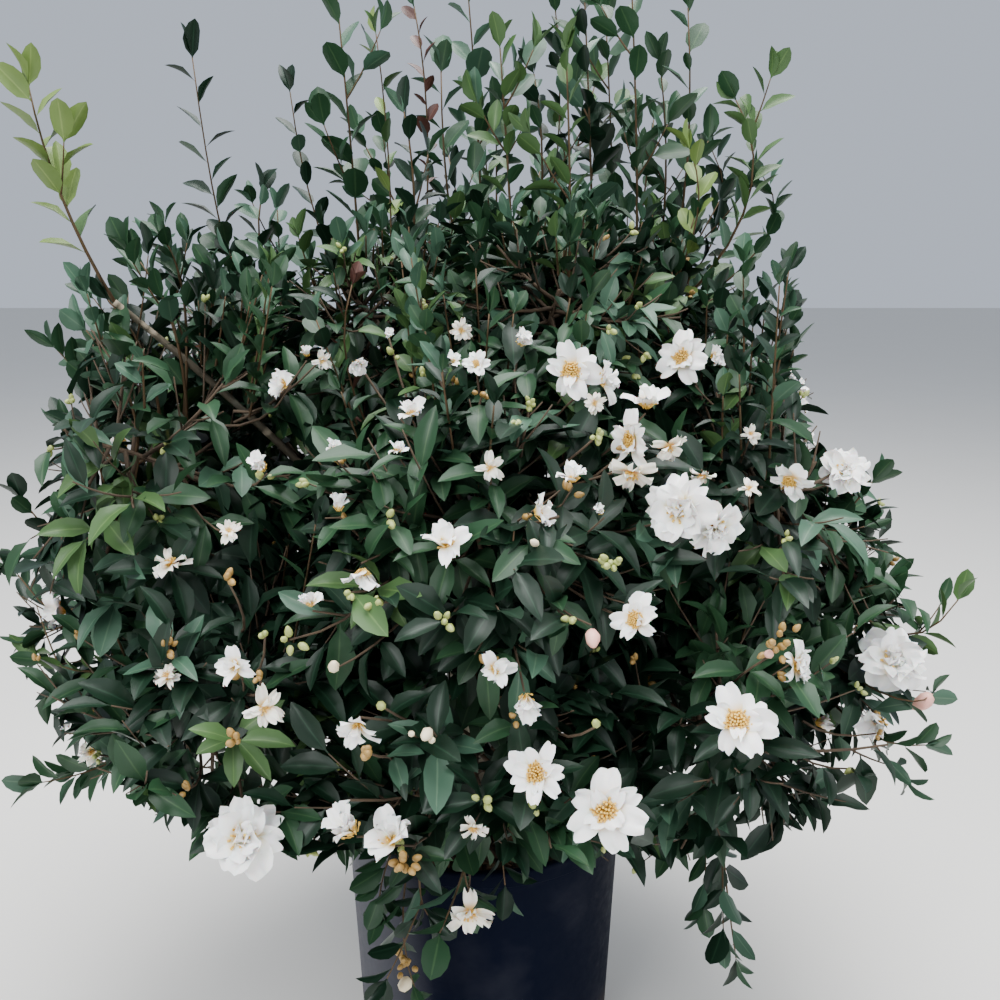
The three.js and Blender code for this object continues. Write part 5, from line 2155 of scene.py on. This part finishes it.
@dataclass
class Foliage:
    """The leaves, joined by tier and colour."""

    crown: Crown
    seed: int = 5

    def build(self, dresser: Dresser) -> None:
        """Makes every leaf piece. The deep leaves of each tier stand for its masses."""
        rng = np.random.default_rng(self.seed)
        blanks = [shape.blank() for shape in LEAF_SHAPES]
        finishes = {finish.tone: finish.material() for finish in LEAF_FINISHES}
        for (tier, tone), leaves in self.crown.leaves.items():
            sheaf = Sheaf()
            for shape, blank in enumerate(blanks):
                chosen = [leaf for leaf in leaves if leaf.shape == shape]
                if not chosen:
                    continue
                lengths = np.array([leaf.length for leaf in chosen])
                widths = lengths * rng.uniform(0.9, 1.14, len(chosen))
                places = (np.array(part) for part in zip(*((at.base, at.along, at.face) for at in chosen)))
                sheaf.add(blank, blank.placed(*places, np.stack([lengths, widths, lengths], axis=1)))
            piece = sheaf.build(f"leaves_{tier}_{tone.value}", finishes[tone])
            dresser.keep(piece, self.stood_for(tier) if tone is DEEP else ())
            LOG.info("%s: %d leaves", piece.name, len(leaves))

    def stood_for(self, tier: str) -> list[str]:
        """Gives the foliage nodes that a tier's deep leaves stand for."""
        masses = self.crown.skeleton.masses
        if tier == "shoots":
            return [mass.name for mass in masses if mass.is_spur]
        return [mass.name for mass in masses if mass.tier == tier and not mass.is_spur]


@dataclass
class Blossom:
    """The blooms and buds, joined by kind."""

    crown: Crown

    def build(self, dresser: Dresser) -> None:
        """Makes petals, stamens and buds."""
        fresh = PetalTissue("petal_white", "#fbfaf7", "#ecc963").material()
        faded = PetalTissue("petal_cream", "#f4efe2", "#d9b468").material()
        white = Sheaf()
        cream = Sheaf()
        threads = Sheaf()
        blanks = {
            form: [(shape.petal_blank(), shape.stamen_blank()) for shape in shapes]
            for form, shapes in BLOOM_SHAPES.items()
        }
        for i, (centre, facing, spot) in enumerate(self.crown.blooms):
            petals, stamens = blanks[spot.form][i % 3]
            turn = i * GOLDEN_TURN
            face = np.cross(facing, [math.cos(turn), math.sin(turn), 0.3])
            bases = centre[None]
            scales = np.array([spot.diameter])
            sheaf = cream if spot.form is SPENT else white
            sheaf.add(petals, petals.placed(bases, facing[None], face[None], scales))
            threads.add(stamens, stamens.placed(bases, facing[None], face[None], scales))
        dresser.keep(white.build("petals_white", fresh))
        dresser.keep(cream.build("petals_cream", faded))
        gold = PlantSkin("stamen_threads", "#d8a235", "#e0c064", 3, 0.6).material()
        dresser.keep(threads.build("stamens", gold, False))
        self.build_buds(dresser)

    def build_buds(self, dresser: Dresser) -> None:
        """Makes the buds of each colour."""
        finishes = {
            GREEN: PlantSkin("bud_green", "#7b8940", "#aab06e", 6, 0.45),
            TAN: PlantSkin("bud_tan", "#7d5f2c", "#ab8a4c", 6, 0.5),
            CREAM: PlantSkin("bud_cream", "#ebe2c6", "#e6cfa6", 9, 0.5),
            PINK: PlantSkin("bud_pink", "#d9857c", "#eec8b4", 9, 0.5),
        }
        blank = bud_blank()
        for tone, buds in self.crown.buds.items():
            places, ways, sizes = zip(*buds)
            sheaf = Sheaf()
            faces = np.cross(np.array(ways), [0.3, 0.5, 0.8])
            sheaf.add(blank, blank.placed(np.array(places), np.array(ways), faces, np.array(sizes)))
            dresser.keep(sheaf.build(f"buds_{tone.value}", finishes[tone].material()))


@dataclass
class Studio:
    """The plain pale floor, the soft lights and the camera at the photo's angle."""

    lens: float = 37.8
    sensor: float = 36
    aim: tuple[float, float, float] = (0, 0, 0.8)
    floor_size: float = 40
    world_colour: str = "#d6e0f0"
    world_strength: float = 0.8

    def build(self) -> None:
        """Sets up floor, lights and camera."""
        self.lay_floor()
        self.light("key", (-2.4, -3.2, 3.4), 2.6, 230)
        self.light("fill", (3.2, -2.6, 2.2), 2.6, 100)
        self.light("top", (0.2, 0.2, 4.2), 3.4, 440)
        world = bpy.data.worlds.new("soft_daylight")
        world.use_nodes = True
        sky = world.node_tree.nodes["Background"]
        sky.inputs["Color"].default_value = linear(self.world_colour)
        sky.inputs["Strength"].default_value = self.world_strength
        bpy.context.scene.world = world
        lens = bpy.data.cameras.new("photo_view")
        lens.lens = self.lens
        lens.sensor_fit = "HORIZONTAL"
        lens.sensor_width = self.sensor
        lens.clip_end = 100
        camera = bpy.data.objects.new("photo_view", lens)
        camera.location = EYE * MM
        camera.rotation_euler = (math.radians(90 - PITCH), 0, 0)
        bpy.context.scene.collection.objects.link(camera)
        bpy.context.scene.camera = camera

    def lay_floor(self) -> None:
        """Lays the pale floor."""
        mesh = bmesh.new()
        bmesh.ops.create_grid(mesh, x_segments=1, y_segments=1, size=self.floor_size / 2 / MM)
        material = PlantSkin("studio_floor", "#d6d4cf", "#dad8d3", 400, 0.9).material()
        as_piece("floor", mesh, material)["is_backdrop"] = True

    def light(self, name: str, place: tuple[float, float, float], size: float, power: float) -> None:
        """Hangs a square soft light that shines on the crown.

        Args:
            name: the light's name.
            place: where it hangs, in metres.
            size: its side, in metres.
            power: in watts.
        """
        lamp = bpy.data.lights.new(name, "AREA")
        lamp.size = size
        lamp.energy = power
        holder = bpy.data.objects.new(name, lamp)
        holder.location = place
        aim = Vector(self.aim) - Vector(place)
        holder.rotation_euler = aim.to_track_quat("-Z", "Y").to_euler()
        bpy.context.scene.collection.objects.link(holder)


def main() -> None:
    """Builds every piece in order."""
    logging.basicConfig(level=logging.INFO, format="%(name)s %(message)s")
    dresser = Dresser()
    Studio().build()
    NurseryPot().build(dresser)
    PottingMix().build(dresser)
    skeleton = Skeleton()
    crown = Crown(skeleton)
    crown.grow()
    Wood(skeleton, crown).build(dresser)
    Foliage(crown).build(dresser)
    Blossom(crown).build(dresser)
    LOG.info("%d triangles in all", dresser.triangles)
    boxes = {"cad": CAD_BOX, "visual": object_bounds()}
    {name: [list(corner) for corner in box] for name, box in boxes.items()}


if __name__ == "__main__":
    main()
